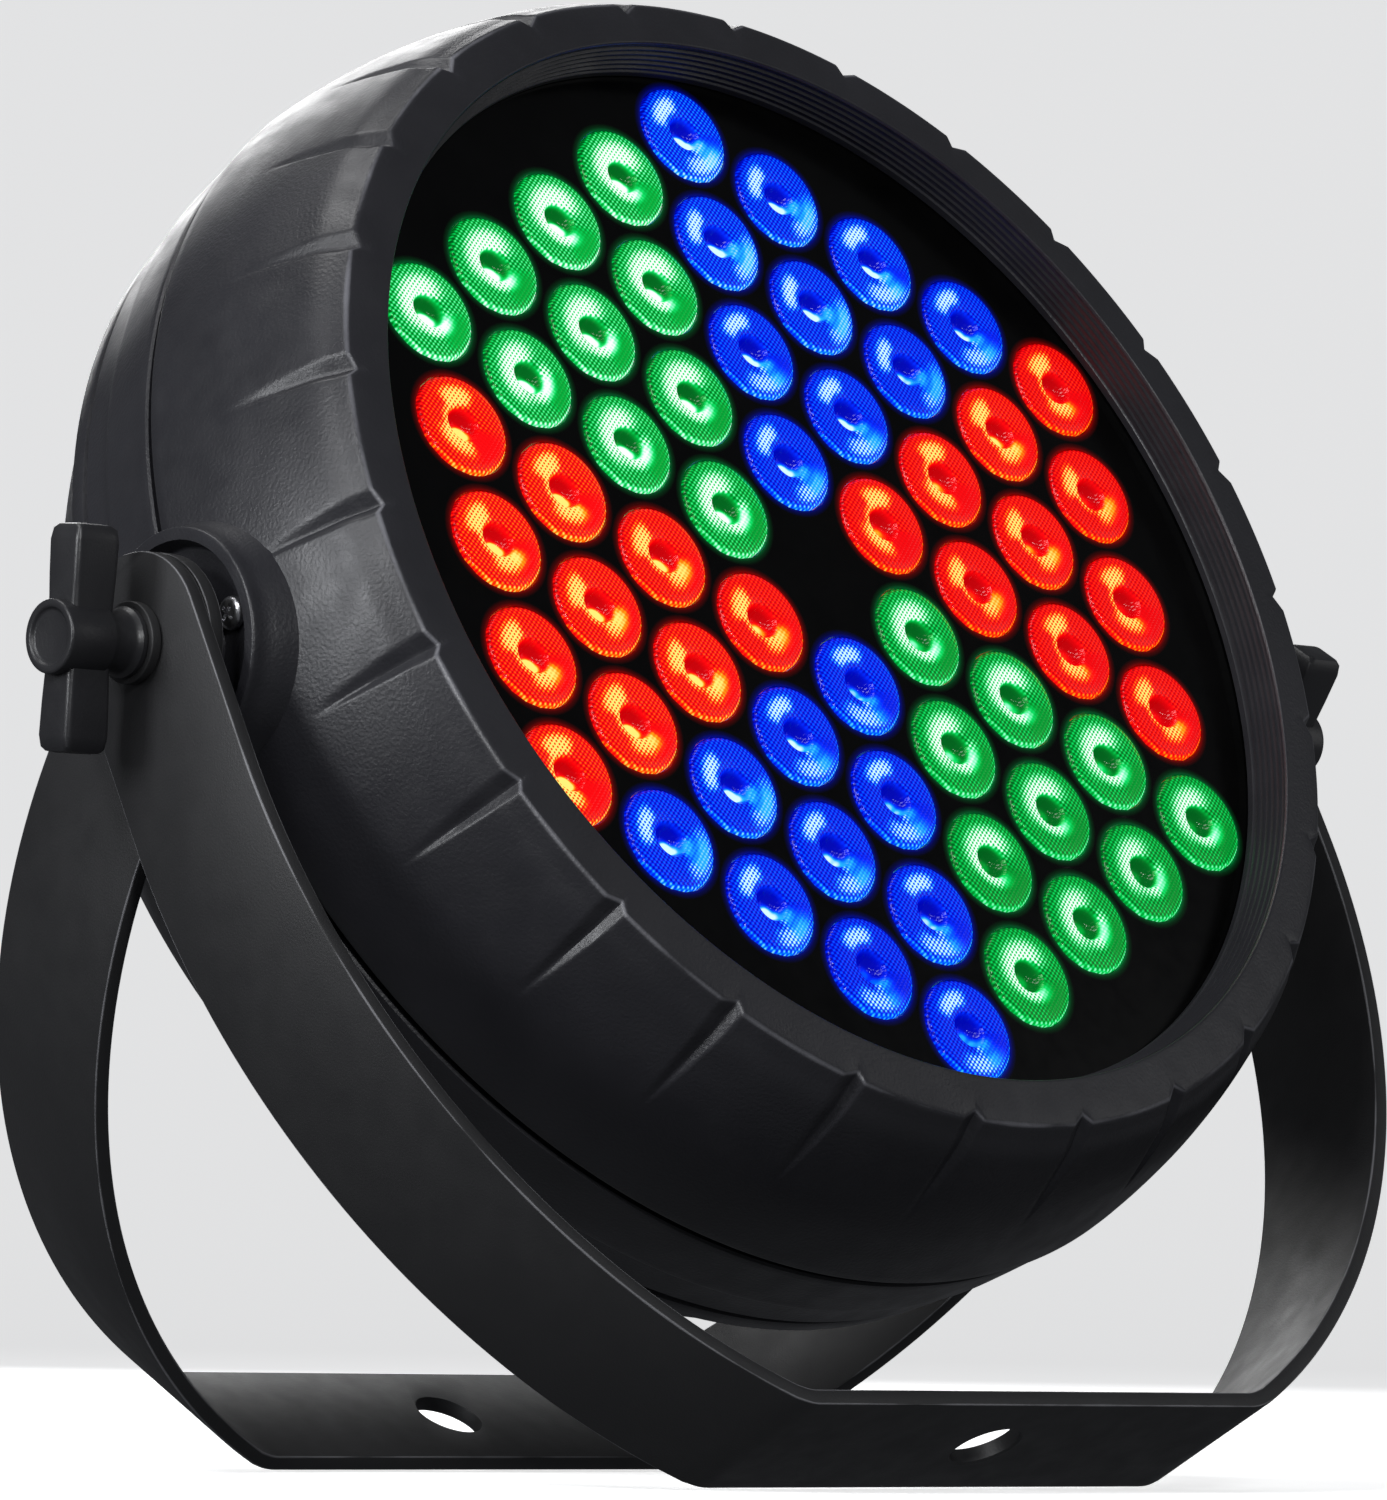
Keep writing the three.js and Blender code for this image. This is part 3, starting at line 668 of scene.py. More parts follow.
# ---------- shells ----------
NOTCH_DEPTH = 1.8
NOTCH_START = 6.5
NOTCH_END = -14.5
GENTLE_SIDE = 3.1
STEEP_SIDE = 1.8
NOTCHED_FROM = 112.0
CORNER = (114.5, 8.2)
# painted highlight: how far from CORNER, in millimetres, the lighter corner line reaches
CORNER_HIGHLIGHT_REACH = 0.8
GROOVES = 6


def notch_depth(z, around):
    """How deep a grip notch is at height z, around millimetres past its steep edge."""
    fade = min(1.0, max(0.0, (z - NOTCH_END) / (NOTCH_START - NOTCH_END)))
    depth = NOTCH_DEPTH * fade
    width = 0.3 + 0.7 * fade
    gentle = GENTLE_SIDE * width
    steep = STEEP_SIDE * width
    if -gentle < around <= 0:
        return depth * (1 + around / gentle)
    if 0 < around < steep:
        return depth * (1 - around / steep)
    return 0.0


def front_profile():
    """Section of the front housing: grooved lip, crest, corner, barrel and inside, as (radius, z)."""
    groove_wall = [(103.8, 0.3), (103.8, 1.6)]
    for i in range(GROOVES):
        r = 103.95 + i * 0.33
        z = 1.75 + i * 1.12
        groove_wall += [(r, z), (r + 0.26, z + 0.12), (r + 0.28, z + 0.95), (r + 0.05, z + 1.05)]
    crest = rounded([(105.7, 8.2), (105.9, 9.05), (107.0, 8.95)], 0.4, closed=False)
    ring = [(109.0, 8.8), (111.3, 8.6)]
    corner = rounded([(112.2, 8.5), CORNER, (115.9, 5.6)], 1.1, 6, closed=False)[1:]
    barrel = [(115.9, 5.6), (117.8, 2.6), (119.6, -2.0), (122.0, -9.0)]
    barrel += [(124.1, -17.0), (125.5, -25.0), (126.2, -31.0)]
    lip = [(126.3, -32.6), (126.0, -33.3), (125.4, -SEAM_DEPTH), (123.8, -SEAM_DEPTH)]
    inside = [(123.2, -30.0), (119.0, -16.0), (108.1, -6.0), (108.1, 0.3)]
    return groove_wall + crest + ring + corner + curve_through(barrel, 5)[1:] + lip + inside


def front_shell():
    """The front housing, with denser sections where each notch bends."""
    profile = front_profile()
    inside_from = len(profile) - 4
    marks = [-12.5, -9.5, -7, -5.2, -4.2, -3.6, -3.1, -2.5, -1.9, -1.3, -0.7, -0.2, 0.1, 0.4, 0.7]
    marks += [1.0, 1.3, 1.6, 1.9, 2.5, 3.7, 5.7, 8, 10.5, 13]
    period = TURN / NOTCHES
    middle_radius = 117.0
    bm = bmesh.new()
    edge_highlight_layer = bm.verts.layers.float.new("edge")
    sections = []
    for notch in range(NOTCHES):
        centre = math.pi + notch * period
        for mark in marks:
            angle = centre + mark / middle_radius
            section = []
            for i, (r, z) in enumerate(profile):
                outside = r > NOTCHED_FROM and i < inside_from
                radius = r - notch_depth(z, mark) if outside else r
                vert = bm.verts.new((radius * math.cos(angle), radius * math.sin(angle), z))
                # painted highlight: vertices near the front corner are marked to be drawn lighter
                off_corner = math.dist((r, z), CORNER)
                vert[edge_highlight_layer] = max(0.0, 1.0 - off_corner / CORNER_HIGHLIGHT_REACH)
                section.append(vert)
            sections.append(section)
    join_round(bm, sections, closed=True)
    bmesh.ops.recalc_face_normals(bm, faces=bm.faces)
    made = finished("front_shell", mesh_of(bm, "front_shell"), HEAD, 28)
    cut(made, boss_cutters())
    dress(made, SHELL, "head", "shell_plastic", "front_housing")


def rear_profile():
    """Section of the rear housing: inner lip, stepped barrel, rounded back and inside."""
    edge = -(SEAM_DEPTH + SEAM_GAP)
    shoulder = [(123.2, -29.6), (123.2, edge), (125.2, edge), (125.65, edge - 0.4)]
    barrel = curve_through([(125.75, edge - 1.2), (125.3, -42.0), (124.7, -48.4)], 5)
    step_one = [(124.4, -49.0), (123.7, -49.4), (123.5, -49.9), (123.2, -56.4), (122.6, -57.0)]
    groove = [(121.6, -57.6), (121.5, -58.5), (122.3, -59.0), (122.4, -59.6), (122.1, -62.4), (121.5, -63.1)]
    step_two = [(120.5, -63.4), (120.0, -64.0)]
    back = [(119.9, -64.6), (117.4, -69.5), (113.4, -77.0), (109.0, -83.8)]
    back += [(104.6, -88.8), (101.0, -91.2), (97.0, BACK_WALL)]
    opening = [(86.5, BACK_WALL), (86.0, -91.6), (74.0, -91.6), (74.0, -89.5), (100.0, -89.5)]
    inside = [(110.0, -78.0), (118.0, -56.0), (120.7, -39.0), (120.7, -29.6)]
    outside = shoulder + barrel + step_one + groove + step_two + curve_through(back, 5)
    return outside + opening + inside


def rear_shell():
    made = turned("rear_shell", rear_profile(), 256, HEAD, closed=True, sharp_degrees=28)
    cut(made, boss_cutters())
    dress(made, SHELL, "head", "shell_plastic", "rear_housing")


# ---------- pivot hardware; side is -1 or 1 along x ----------
BOSS_RADIUS = 21.0
BOSS_BACK = 112.2
BOSS_FACE = 130.0
BOSS_FLOOR = 126.5
BOSS_RING = 9.4
BOSS_BORE = 4.6
BORE_END = 118
BOSS_SCREW_REACH = 13.0
BOSS_GAP = 0.5
DISC_RADIUS = 12
WASHER_RADIUS = 7.2
WASHER_BORE = 4.6
THREAD_PITCH = 1.25
THREAD_ROOT = 3.4
THREAD_CREST = 3.95


def side_place(side):
    """z runs outwards along the pivot axis and y along the optical axis."""
    outward = RIGHT * side
    return basis(OPTICAL.cross(outward), OPTICAL, outward, PIVOT)


def boss_cutters():
    """A round opening for each boss through the sides of a shell."""
    return [drill(BOSS_RADIUS + BOSS_GAP, 100, 140, 72, side_place(side)) for side in (-1, 1)]


def boss(word, side):
    """Flared cup with a sunk floor for its screws and a raised ring round the stud."""
    radius = BOSS_RADIUS
    flare = [(radius + 2.4, 121.0), (radius + 1.2, 124.6), (radius + 0.3, 127.2), (radius, 129.2)]
    rim = [flare[-1], (radius - 0.2, BOSS_FACE), (radius - 2.4, BOSS_FACE)]
    dip = [rim[-1], (radius - 3.4, BOSS_FLOOR), (BOSS_RING, BOSS_FLOOR)]
    ring = [dip[-1], (BOSS_RING - 0.4, BOSS_FACE), (BOSS_BORE, BOSS_FACE)]
    cup = [(0, BOSS_BACK), (radius, BOSS_BACK), (radius + 2.4, 114), *curve_through(flare, 4)]
    for corner, softness in ((rim, 0.7), (dip, 0.6), (ring, 0.5)):
        cup += rounded(corner, softness, closed=False)[1:]
    cup += [(BOSS_BORE, BORE_END), (0, BORE_END)]
    made = turned(word + "_boss", cup, 96, side_place(side))
    holes = []
    for ahead in (1, -1):
        place = side_place(side) @ Matrix.Translation((0, ahead * BOSS_SCREW_REACH * MM, 0))
        holes.append(drill(1.8, BORE_END, 128, 24, place))
    cut(made, holes)
    dress(made, SHELL, "head", "shell_plastic", word + "_pivot_boss")


def cross_screw(name, place, radius=3.0, height=1.6, shank=1.4, length=6.0):
    """A pan-head screw with a cross recess, seated on z = 0 and pointing down."""
    head = [(0, -length), (shank, -length), (shank, 0), (radius, 0), (radius, height * 0.35)]
    head += curve_through([(radius * 0.97, height * 0.55), (radius * 0.72, height * 0.9), (0, height)], 4)
    made = turned(name, head, 32, place)
    long, thin = radius * 1.15, radius * 0.26
    slots = []
    for width, depth in ((long, thin), (thin, long)):
        outline = rectangle(width, depth, corner=0.1)
        slots.append(pulled("slot", outline, height * 0.35, height + 1, place, 0.02))
    return cut(made, slots)


def boss_screws(word, side):
    for label, ahead in (("front", 1), ("rear", -1)):
        seat = Vector((0, ahead * BOSS_SCREW_REACH, BOSS_FLOOR + 0.3))
        place = side_place(side) @ Matrix.Translation(seat * MM)
        node = f"{word}_boss_screw_{label}"
        made = cross_screw(node + "_detail", place @ Matrix.Rotation(0.5, 4, "Z"))
        dress(made, STEEL, "head", "bright_steel", node)


def ring_washer(side, node, radius, body, material, slot):
    """A flat ring round the stud, as thick as its modelled piece."""
    low, high = sorted((abs(low_side(node, 0)), abs(high_side(node, 0))))
    outline = rounded([(WASHER_BORE, low), (radius, low), (radius, high), (WASHER_BORE, high)], 0.3)
    made = turned(node + "_detail", outline, 72, side_place(side), closed=True)
    dress(made, material, body, slot, node)


def threaded_stud(word, side):
    low, high = sorted((abs(low_side(word + "_stud", 0)), abs(high_side(word + "_stud", 0))))
    profile = [(0, low), (THREAD_ROOT, low)]
    z = low + 0.5
    while z < high - 1.2:
        profile += [(THREAD_ROOT + 0.05, z), (THREAD_CREST, z + THREAD_PITCH / 2)]
        z += THREAD_PITCH
    profile += [(THREAD_ROOT, high), (0, high)]
    made = turned(word + "_stud_detail", profile, 32, side_place(side))
    dress(made, STEEL, word + "_clamp_knob", "bright_steel", word + "_stud")


# ---------- knobs ----------
KNOB_START = 141.25
WING_INNER = KNOB_START + 5.4
WING_OUTER = WING_INNER + 9.4
WING_LENGTH = 19.7
HUB_RADIUS = 6.5
HUB_END = WING_OUTER + 2
STEM_RADIUS = 5.4
BASE_RADIUS = 6.2
STUD_BORE = 4.4


def wings(place):
    """The bar across the hub: flat faces, bevelled edges and softly rounded tips."""
    stations = [(0, 3.7, 4.3), (5.0, 3.8, 4.4), (11.0, 4.0, 4.6), (16.8, 4.1, 4.7), (18.8, 3.8, 4.4)]
    stations += [(19.5, 3.2, 3.8), (WING_LENGTH, 2.2, 2.8)]
    middle = (WING_INNER + WING_OUTER) / 2
    bm = bmesh.new()
    rings = []
    for y, depth, width in [(-y, d, w) for y, d, w in reversed(stations)] + stations[1:]:
        outline = rounded([(-depth, -width), (depth, -width), (depth, width), (-depth, width)], 1.1, 4)
        rings.append([bm.verts.new((x, y, middle + z)) for x, z in outline])
    join_along(bm, rings)
    return finished("wings", mesh_of(cleaned(bm), "wings"), place, 50)


def knob(word, side, turn_degrees):
    """Waisted hub joined to its two wings; its stud sits in the bore behind."""
    upright = basis(Vector((0, side, 0)), Vector((0, 0, 1)), RIGHT * side, PIVOT)
    place = upright @ Matrix.Rotation(math.radians(turn_degrees), 4, "Z")
    stem = [(5.9, KNOB_START + 1.2), (5.5, KNOB_START + 2.0), (STEM_RADIUS, WING_INNER - 1.6)]
    neck = [stem[-1], (5.7, WING_INNER), (HUB_RADIUS, WING_INNER + 1.8)]
    end = [(HUB_RADIUS, WING_OUTER), (HUB_RADIUS, HUB_END), (5.1, HUB_END), (4.7, HUB_END - 0.7)]
    end.append((0, HUB_END - 0.9))
    hub = [(STUD_BORE, KNOB_START), (BASE_RADIUS, KNOB_START), (BASE_RADIUS, KNOB_START + 0.8)]
    hub += curve_through(stem, 3) + curve_through(neck, 3)[1:]
    hub += rounded(end, 0.6, closed=False) + [(0, KNOB_START + 12.6), (STUD_BORE, KNOB_START + 12.5)]
    made = turned(word + "_wing_knob", hub, 72, place, closed=True)
    cut(made, [wings(place)], union=True)
    dress(made, KNOB, word + "_clamp_knob", "knob_plastic", word + "_knob")


# ---------- brackets ----------
STRAP = 3.0
STRAP_HALF = 16.0
BEND_RADIUS = 137.0
STRAIGHT_LEG = 30.0
FOOT_HALF = 57.0
FOOT_DROP = STRAIGHT_LEG + math.sqrt(BEND_RADIUS ** 2 - FOOT_HALF ** 2)
FOOT_HOLE_RADIUS = 6.6
FOOT_BEND = 3.0
STUD_HOLE_RADIUS = 4.5
PAIR_OFFSET = 1.65
SPLAY = 28.3


def half_path():
    """Middle line of half the strap, rounded top to foot's centre: (across, down, half width)."""
    radius = BEND_RADIUS - STRAP / 2
    path = []
    for i in range(13):
        up = STRAP_HALF * math.cos(i * math.pi / 24)
        half = max(0.25, math.sqrt(max(0.0, STRAP_HALF ** 2 - up ** 2)))
        path.append((radius, -up, half))
    for i in range(1, 7):
        path.append((radius, STRAIGHT_LEG * i / 6, STRAP_HALF))
    lowest = math.acos((FOOT_HALF - 1.0) / radius)
    for i in range(1, 49):
        a = lowest * i / 48
        path.append((radius * math.cos(a), STRAIGHT_LEG + radius * math.sin(a), STRAP_HALF))
    floor = FOOT_DROP - STRAP / 2
    across = path.pop()[0]
    bend = [path[-1][:2], (across - 0.4, floor), (FOOT_HALF - 12.0, floor)]
    for x, y in rounded(bend, FOOT_BEND, 5, closed=False)[1:]:
        path.append((x, y, STRAP_HALF))
    for x in (30.0, 15.0, 0.0):
        path.append((x, floor, STRAP_HALF))
    return path


def strap_section(half):
    """Rounded rectangle: (out of the strap's middle line, along its width)."""
    t = STRAP / 2
    e = min(0.45, half * 0.6)
    return [
        (t, half - e), (t - e * 0.3, half - e * 0.3), (t - e, half),
        (e - t, half), (e * 0.3 - t, half - e * 0.3), (-t, half - e),
        (-t, e - half), (e * 0.3 - t, e * 0.3 - half), (e - t, -half),
        (t - e, -half), (t - e * 0.3, e * 0.3 - half), (t, e - half),
    ]


def strap_place(lean_sign, offset):
    """x across the lamp, y up the leaning strap, z along its width."""
    splay = math.radians(SPLAY)
    down = Vector((0, lean_sign * math.sin(splay), -math.cos(splay)))
    width = down.cross(RIGHT)
    return basis(RIGHT, -down, width, PIVOT + RIGHT * offset * MM)


def bracket(word, lean_sign, offset, body):
    """A bent strap with a stud hole at each end and a bolt hole in its foot."""
    half = half_path()
    whole = half + [(-x, y, w) for x, y, w in reversed(half[:-1])]
    bm = bmesh.new()
    edge_highlight_layer = bm.verts.layers.float.new("edge")
    rings = []
    for i, (x, down, w) in enumerate(whole):
        before = Vector(whole[max(i - 1, 0)][:2])
        after = Vector(whole[min(i + 1, len(whole) - 1)][:2])
        along = (after - before).normalized()
        out = Vector((along.y, -along.x))
        ring = []
        for k, (depth, side) in enumerate(strap_section(w)):
            vert = bm.verts.new((x + out.x * depth, -(down + out.y * depth), side))
            # painted highlight: the middle vertex of each rounded strap edge is marked to be drawn lighter
            vert[edge_highlight_layer] = 1.0 if k % 3 == 1 else 0.0
            ring.append(vert)
        rings.append(ring)
    join_along(bm, rings)
    place = strap_place(lean_sign, offset)
    made = finished(word + "_strap", mesh_of(cleaned(bm), word), place, 30)
    across = place @ Matrix.Rotation(math.pi / 2, 4, "Y")
    down_place = place @ Matrix.Rotation(math.pi / 2, 4, "X")
    foot = FOOT_DROP
    radius = FOOT_HOLE_RADIUS
    hole = [(0, foot - 6), (radius + 1.2, foot - 6), (radius, foot - 2.7)]
    hole += [(radius, foot - 0.35), (radius + 1.0, foot + 0.65), (0, foot + 0.65)]
    cutters = [
        drill(STUD_HOLE_RADIUS, -150, 150, 40, across),
        turned("hole", hole, 64, down_place),
    ]
    cut(made, cutters)
    # no painted highlight on the wall and rim of the foot hole
    hole_centre = place @ Vector((0, -FOOT_DROP * MM, 0))
    for vert, painted_highlight in zip(made.data.vertices, made.data.attributes["edge"].data):
        if (vert.co - hole_centre).length < (radius + 3) * MM:
            painted_highlight.value = 0.0
    dress(made, STRAP_PAINT, body, "bracket_paint", word + "_bracket")


# ---------- rear panel ----------
PANEL_RADIUS = 84.0
PANEL_THICKNESS = 2
PANEL_BACK = -94.3
ON_PANEL = PANEL_BACK - 0.3
DIAGONALS = (45, 135, 225, 315)
PANEL_SCREW_REACH = 79
SHELL_SCREW_REACH = 92
DISPLAY_Y = 40
BUTTON_Y = 17
BUTTON_X = {"menu": -27, "down": -9, "up": 9, "enter": 27}
SOCKET_X = 32
SOCKET_Y = -16
SOCKET_RADIUS = 12.0
SOCKET_INSIDE = 10.0
PIN_ANGLES = (90, 210, 330)
PIN_REACH = 4.2
INLET = (-14, -51)
FUSE = (25, -53)
EYE_HEIGHT = 14
EYE_RADIUS = 11


def back_place(x=0.0, y=0.0, z=ON_PANEL):
    """A place on the back: z points out of the back and y up the face."""
    return basis(-RIGHT, UP_FACE, -OPTICAL, HEAD @ (Vector((x, y, z)) * MM))


def socket_shell(name, x, node, insert_depth):
    """Round socket: square flange, metal tube and an insert that isn't dressed yet."""
    place = back_place(x, SOCKET_Y)
    flange = pulled(name + "_flange", rectangle(27, 27, corner=6), 0.0, 2.0, place, 0.5)
    cut(flange, [drill(SOCKET_INSIDE + 0.1, -30, 8, 64, place)])
    dress(flange, PLATED, "head", "socket_metal", node)
    rim = [(SOCKET_RADIUS, 1.9), (SOCKET_RADIUS, 2.9), (SOCKET_INSIDE, 2.9)]
    shell = [(SOCKET_INSIDE, -13), (SOCKET_RADIUS, -13), *rounded(rim, 0.5, closed=False)]
    shell.append((SOCKET_INSIDE, 2.0))
    tube = turned(name + "_tube", shell, 72, place, closed=True)
    dress(tube, PLATED, "head", "socket_metal")
    snug = SOCKET_INSIDE - 0.05
    face = [(snug, insert_depth - 1), (snug, insert_depth), (9.0, insert_depth)]
    insert = [(0, -13.2), (snug, -13.2), *rounded(face, 0.4, closed=False), (0, insert_depth)]
    core = turned(name + "_insert", insert, 64, place)
    return place, core


def pin_place(place, angle):
    """The place of one of a socket's three poles."""
    return place @ Matrix.Translation((*(direction(angle) * PIN_REACH * MM), 0))


def signal_input():
    place, core = socket_shell("signal_in", -SOCKET_X, "signal_input", -10.0)
    dress(core, SOCKET, "head", "socket_plastic")
    tip = curve_through([(1.1, -4.8), (0.7, -4.2), (0, -4.0)], 3)
    pin = [(0, -11), (1.15, -11), (1.15, -5.2), *tip]
    for i, angle in enumerate(PIN_ANGLES):
        made = turned(f"signal_pin_{i + 1}", pin, 24, pin_place(place, angle))
        dress(made, PLATED, "head", "socket_metal")


def signal_output():
    place, core = socket_shell("signal_out", SOCKET_X, "signal_output", 0.9)
    hole = [(0, -9), (1.5, -9), (1.5, 0.4), (2.0, 1.2), (0, 1.2)]
    bores = []
    for angle in PIN_ANGLES:
        bores.append(turned("bore", hole, 32, pin_place(place, angle)))
    latch = place @ Matrix.Translation((0, 8.2 * MM, 0))
    bores.append(pulled("latch", rectangle(3.4, 2.4, corner=0.5), -6, 2, latch, 0.05))
    cut(core, bores)
    dress(core, SOCKET, "head", "socket_plastic")


def power_socket():
    """Mains inlet: frame, well and three blades."""
    place = back_place(*INLET)
    mouth = rounded([(-12, -8.5), (12, -8.5), (12, 4.5), (8, 8.5), (-8, 8.5), (-12, 4.5)], 1.2)
    border = pulled("power_frame", rectangle(38, 25, corner=2.5), 0.0, 2.0, place, 0.5)
    cut(border, [pulled("mouth", mouth, -12, 4, place, 0.05)])
    dress(border, SOCKET, "head", "socket_plastic", "power_inlet")
    well = pulled("power_well", rectangle(26, 19, corner=1.0), -14.0, -0.1, place, 0.3)
    cut(well, [pulled("mouth", mouth, -12, 4, place, 0.05)])
    dress(well, SOCKET, "head", "socket_plastic")
    for i, (x, y) in enumerate(((-7, -2), (0, 2.5), (7, -2))):
        blade = pulled(f"power_pin_{i + 1}", rectangle(2, 4.5, x, y, 0.5), -13.5, -4.2, place, 0.4)
        dress(blade, PLATED, "head", "socket_metal")


def fuse_cap():
    """Round screw cap with a ribbed grip and a slot."""
    place = back_place(*FUSE)
    bm = bmesh.new()

    def ribbed(r, z, angle):
        ribs = 0.22 * math.cos(24 * angle) if 7.5 < r < 8.6 and 1.2 < z < 6.0 else 0.0
        return r + ribs

    profile = [(0, -12), (7, -12), (7, 0), (8.4, 0), (8.4, 0.6), (8.1, 1.3), (8.1, 5.6)]
    profile += [(7.9, 6.2), (7.2, 6.7), (0, 6.7)]
    add_turned(bm, profile, 144, shape=ribbed)
    made = finished("fuse_cap", mesh_of(cleaned(bm), "fuse_cap"), place)
    cut(made, [pulled("slot", rectangle(9.5, 1.6, corner=0.2), 5.3, 8.0, place, 0.02)])
    dress(made, SOCKET, "head", "socket_plastic", "fuse_holder")


def panel_sheet():
    """Round sheet with an opening for everything that shows on the back."""
    rim = [(PANEL_RADIUS - 1, 0), (PANEL_RADIUS, 0), (PANEL_RADIUS, PANEL_THICKNESS)]
    sheet = [(0, 0), *rounded(rim, 0.3, closed=False), (0, PANEL_THICKNESS)]
    place = back_place(0, 0, PANEL_BACK + PANEL_THICKNESS)
    made = turned("panel_sheet", sheet, 160, place)
    cutters = [
        pulled("window", rectangle(40.6, 16.6), -6, 6, back_place(0, DISPLAY_Y, PANEL_BACK), 0.05),
        pulled("inlet", rectangle(28.6, 21.6), -6, 6, back_place(*INLET, PANEL_BACK), 0.05),
    ]
    holes = [(x, SOCKET_Y, SOCKET_RADIUS + 0.3) for x in (-SOCKET_X, SOCKET_X)]
    holes.append((*FUSE, 7.3))
    holes += [(x, BUTTON_Y, 4.3) for x in BUTTON_X.values()]
    holes += [(*(direction(a) * PANEL_SCREW_REACH), 1.9) for a in DIAGONALS]
    for x, y, r in holes:
        cutters.append(drill(r, -6, 6, 48, back_place(x, y, PANEL_BACK)))
    cut(made, cutters)
    dress(made, PANEL, "head", "panel_paint", "rear_panel")


def buttons():
    """Four round caps with dished tops, each in a fixed bezel."""
    dished = curve_through([(3.9, 1.3), (3.4, 2.0), (2.2, 2.1), (0, 1.75)], 4)
    cap = [(0, -6), (3.95, -6), (3.95, 0.8), *dished]
    bezel = rounded([(4.35, 0.0), (5.6, 0.0), (5.3, 0.7), (4.5, 0.7)], 0.2)
    for name, x in BUTTON_X.items():
        place = back_place(x, BUTTON_Y, PANEL_BACK)
        made = turned(name + "_cap", cap, 48, place)
        dress(made, RUBBER, name + "_key", "button_rubber", name + "_button")
        collar = turned(name + "_bezel", bezel, 48, place, closed=True)
        dress(collar, SOCKET, "head", "socket_plastic")


def display():
    place = back_place(0, DISPLAY_Y, PANEL_BACK)
    window = pulled("display_pane", rectangle(39.8, 15.8), -6, 0.3, place, 0.3)
    dress(window, GLASS, "head", "display_glass", "display_window")
    bezel = pulled("display_bezel", rectangle(45, 21), 0.0, 0.9, place, 0.3)
    cut(bezel, [pulled("window", rectangle(38.0, 14.0), -2, 4, place, 0.05)])
    dress(bezel, SOCKET, "head", "socket_plastic")


def back_screws():
    groups = (("panel", PANEL_SCREW_REACH, ON_PANEL), ("shell", SHELL_SCREW_REACH, ON_WALL))
    for group, reach, seat in groups:
        for i, angle in enumerate(DIAGONALS):
            spot = direction(angle) * reach
            place = back_place(spot.x, spot.y, seat) @ Matrix.Rotation(0.7 * i + 0.3, 4, "Z")
            node = f"{group}_screw_{i + 1}"
            made = cross_screw(node + "_detail", place, radius=3.2, height=1.8, length=1.6)
            dress(made, STEEL, "head", "bright_steel", node)


def safety_eye():
    """Upright eye on a foot; its hole flares to both sides."""
    place = back_place(0, SHELL_SCREW_REACH, ON_WALL) @ Matrix.Rotation(math.pi / 2, 4, "X")
    centre = Vector((0, EYE_HEIGHT))
    outline = [(-14, 0), (14, 0), (14, 2.5), (EYE_RADIUS, 3.2)]
    outline += [tuple(direction(i * 10) * EYE_RADIUS + centre) for i in range(19)]
    outline += [(-EYE_RADIUS, 3.2), (-14, 2.5)]
    made = pulled("cable_eye", outline, -2, 2, place, 0.6)
    flared = [(0, -6), (8.5, -6), (6.5, -1.4), (6.5, 1.4), (8.5, 6), (0, 6)]
    middle = place @ Matrix.Translation((0, EYE_HEIGHT * MM, 0))
    cut(made, [turned("hole", flared, 48, middle)])
    dress(made, STEEL, "head", "bright_steel", "safety_eye")


def inner_parts():
    """Boards, heat sink and supply stay as modelled and only get their finishes."""
    finishes = {
        "led_board": board_white(),
        "heat_sink": brushed("cast_aluminium", (0.45, 0.46, 0.47), (0.62, 0.63, 0.64), (0.4, 0.55)),
        "power_supply": supply_case(),
        "control_board": circuit_board(),
    }
    for node, material in finishes.items():
        part = frame["nodes"][node]
        part.data.materials.clear()
        part.data.materials.append(material)


# ---------- camera, floor and light ----------
def aim(place, target):
    return (target - place).to_track_quat("-Z", "Y").to_euler()


def camera():
    """Long lens, a little below the lamp, at its front left."""
    azimuth = math.radians(-43.48)
    elevation = math.radians(-3.72)
    roll = math.radians(1.0)
    distance = 1559.2
    leftwards = 4.48
    downwards = 10.41
    right = Vector((math.cos(azimuth), math.sin(azimuth), 0))
    back = Vector((
        math.sin(azimuth) * math.cos(elevation),
        -math.cos(azimuth) * math.cos(elevation),
        math.sin(elevation),
    ))
    up = back.cross(right)
    rolled_right = right * math.cos(roll) + up * math.sin(roll)
    rolled_up = up * math.cos(roll) - right * math.sin(roll)
    data = bpy.data.cameras.new("camera")
    data.lens = 204.0
    data.clip_end = 30.0
    made = bpy.data.objects.new("camera", data)
    origin = PIVOT + (back * distance - rolled_right * leftwards - rolled_up * downwards) * MM
    made.matrix_world = basis(rolled_right, rolled_up, back, origin)
    bpy.context.scene.collection.objects.link(made)
    bpy.context.scene.camera = made


def soft_light(name, place, target, width, height, power, color=(1, 1, 1)):
    data = bpy.data.lights.new(name, "AREA")
    data.shape = "RECTANGLE"
    data.size = width
    data.size_y = height
    data.energy = power
    data.color = color
    made = bpy.data.objects.new(name, data)
    made.location = place
    made.rotation_euler = aim(Vector(place), Vector(target))
    bpy.context.scene.collection.objects.link(made)


def stage_paint():
    paint = Paint("stage_paint", (0.93, 0.93, 0.93), 0.9)
    paint.set("Specular IOR Level", 0.1)
    paint.set("Emission Color", (1, 1, 1, 1))
    paint.set("Emission Strength", 0.62)
    return paint.material


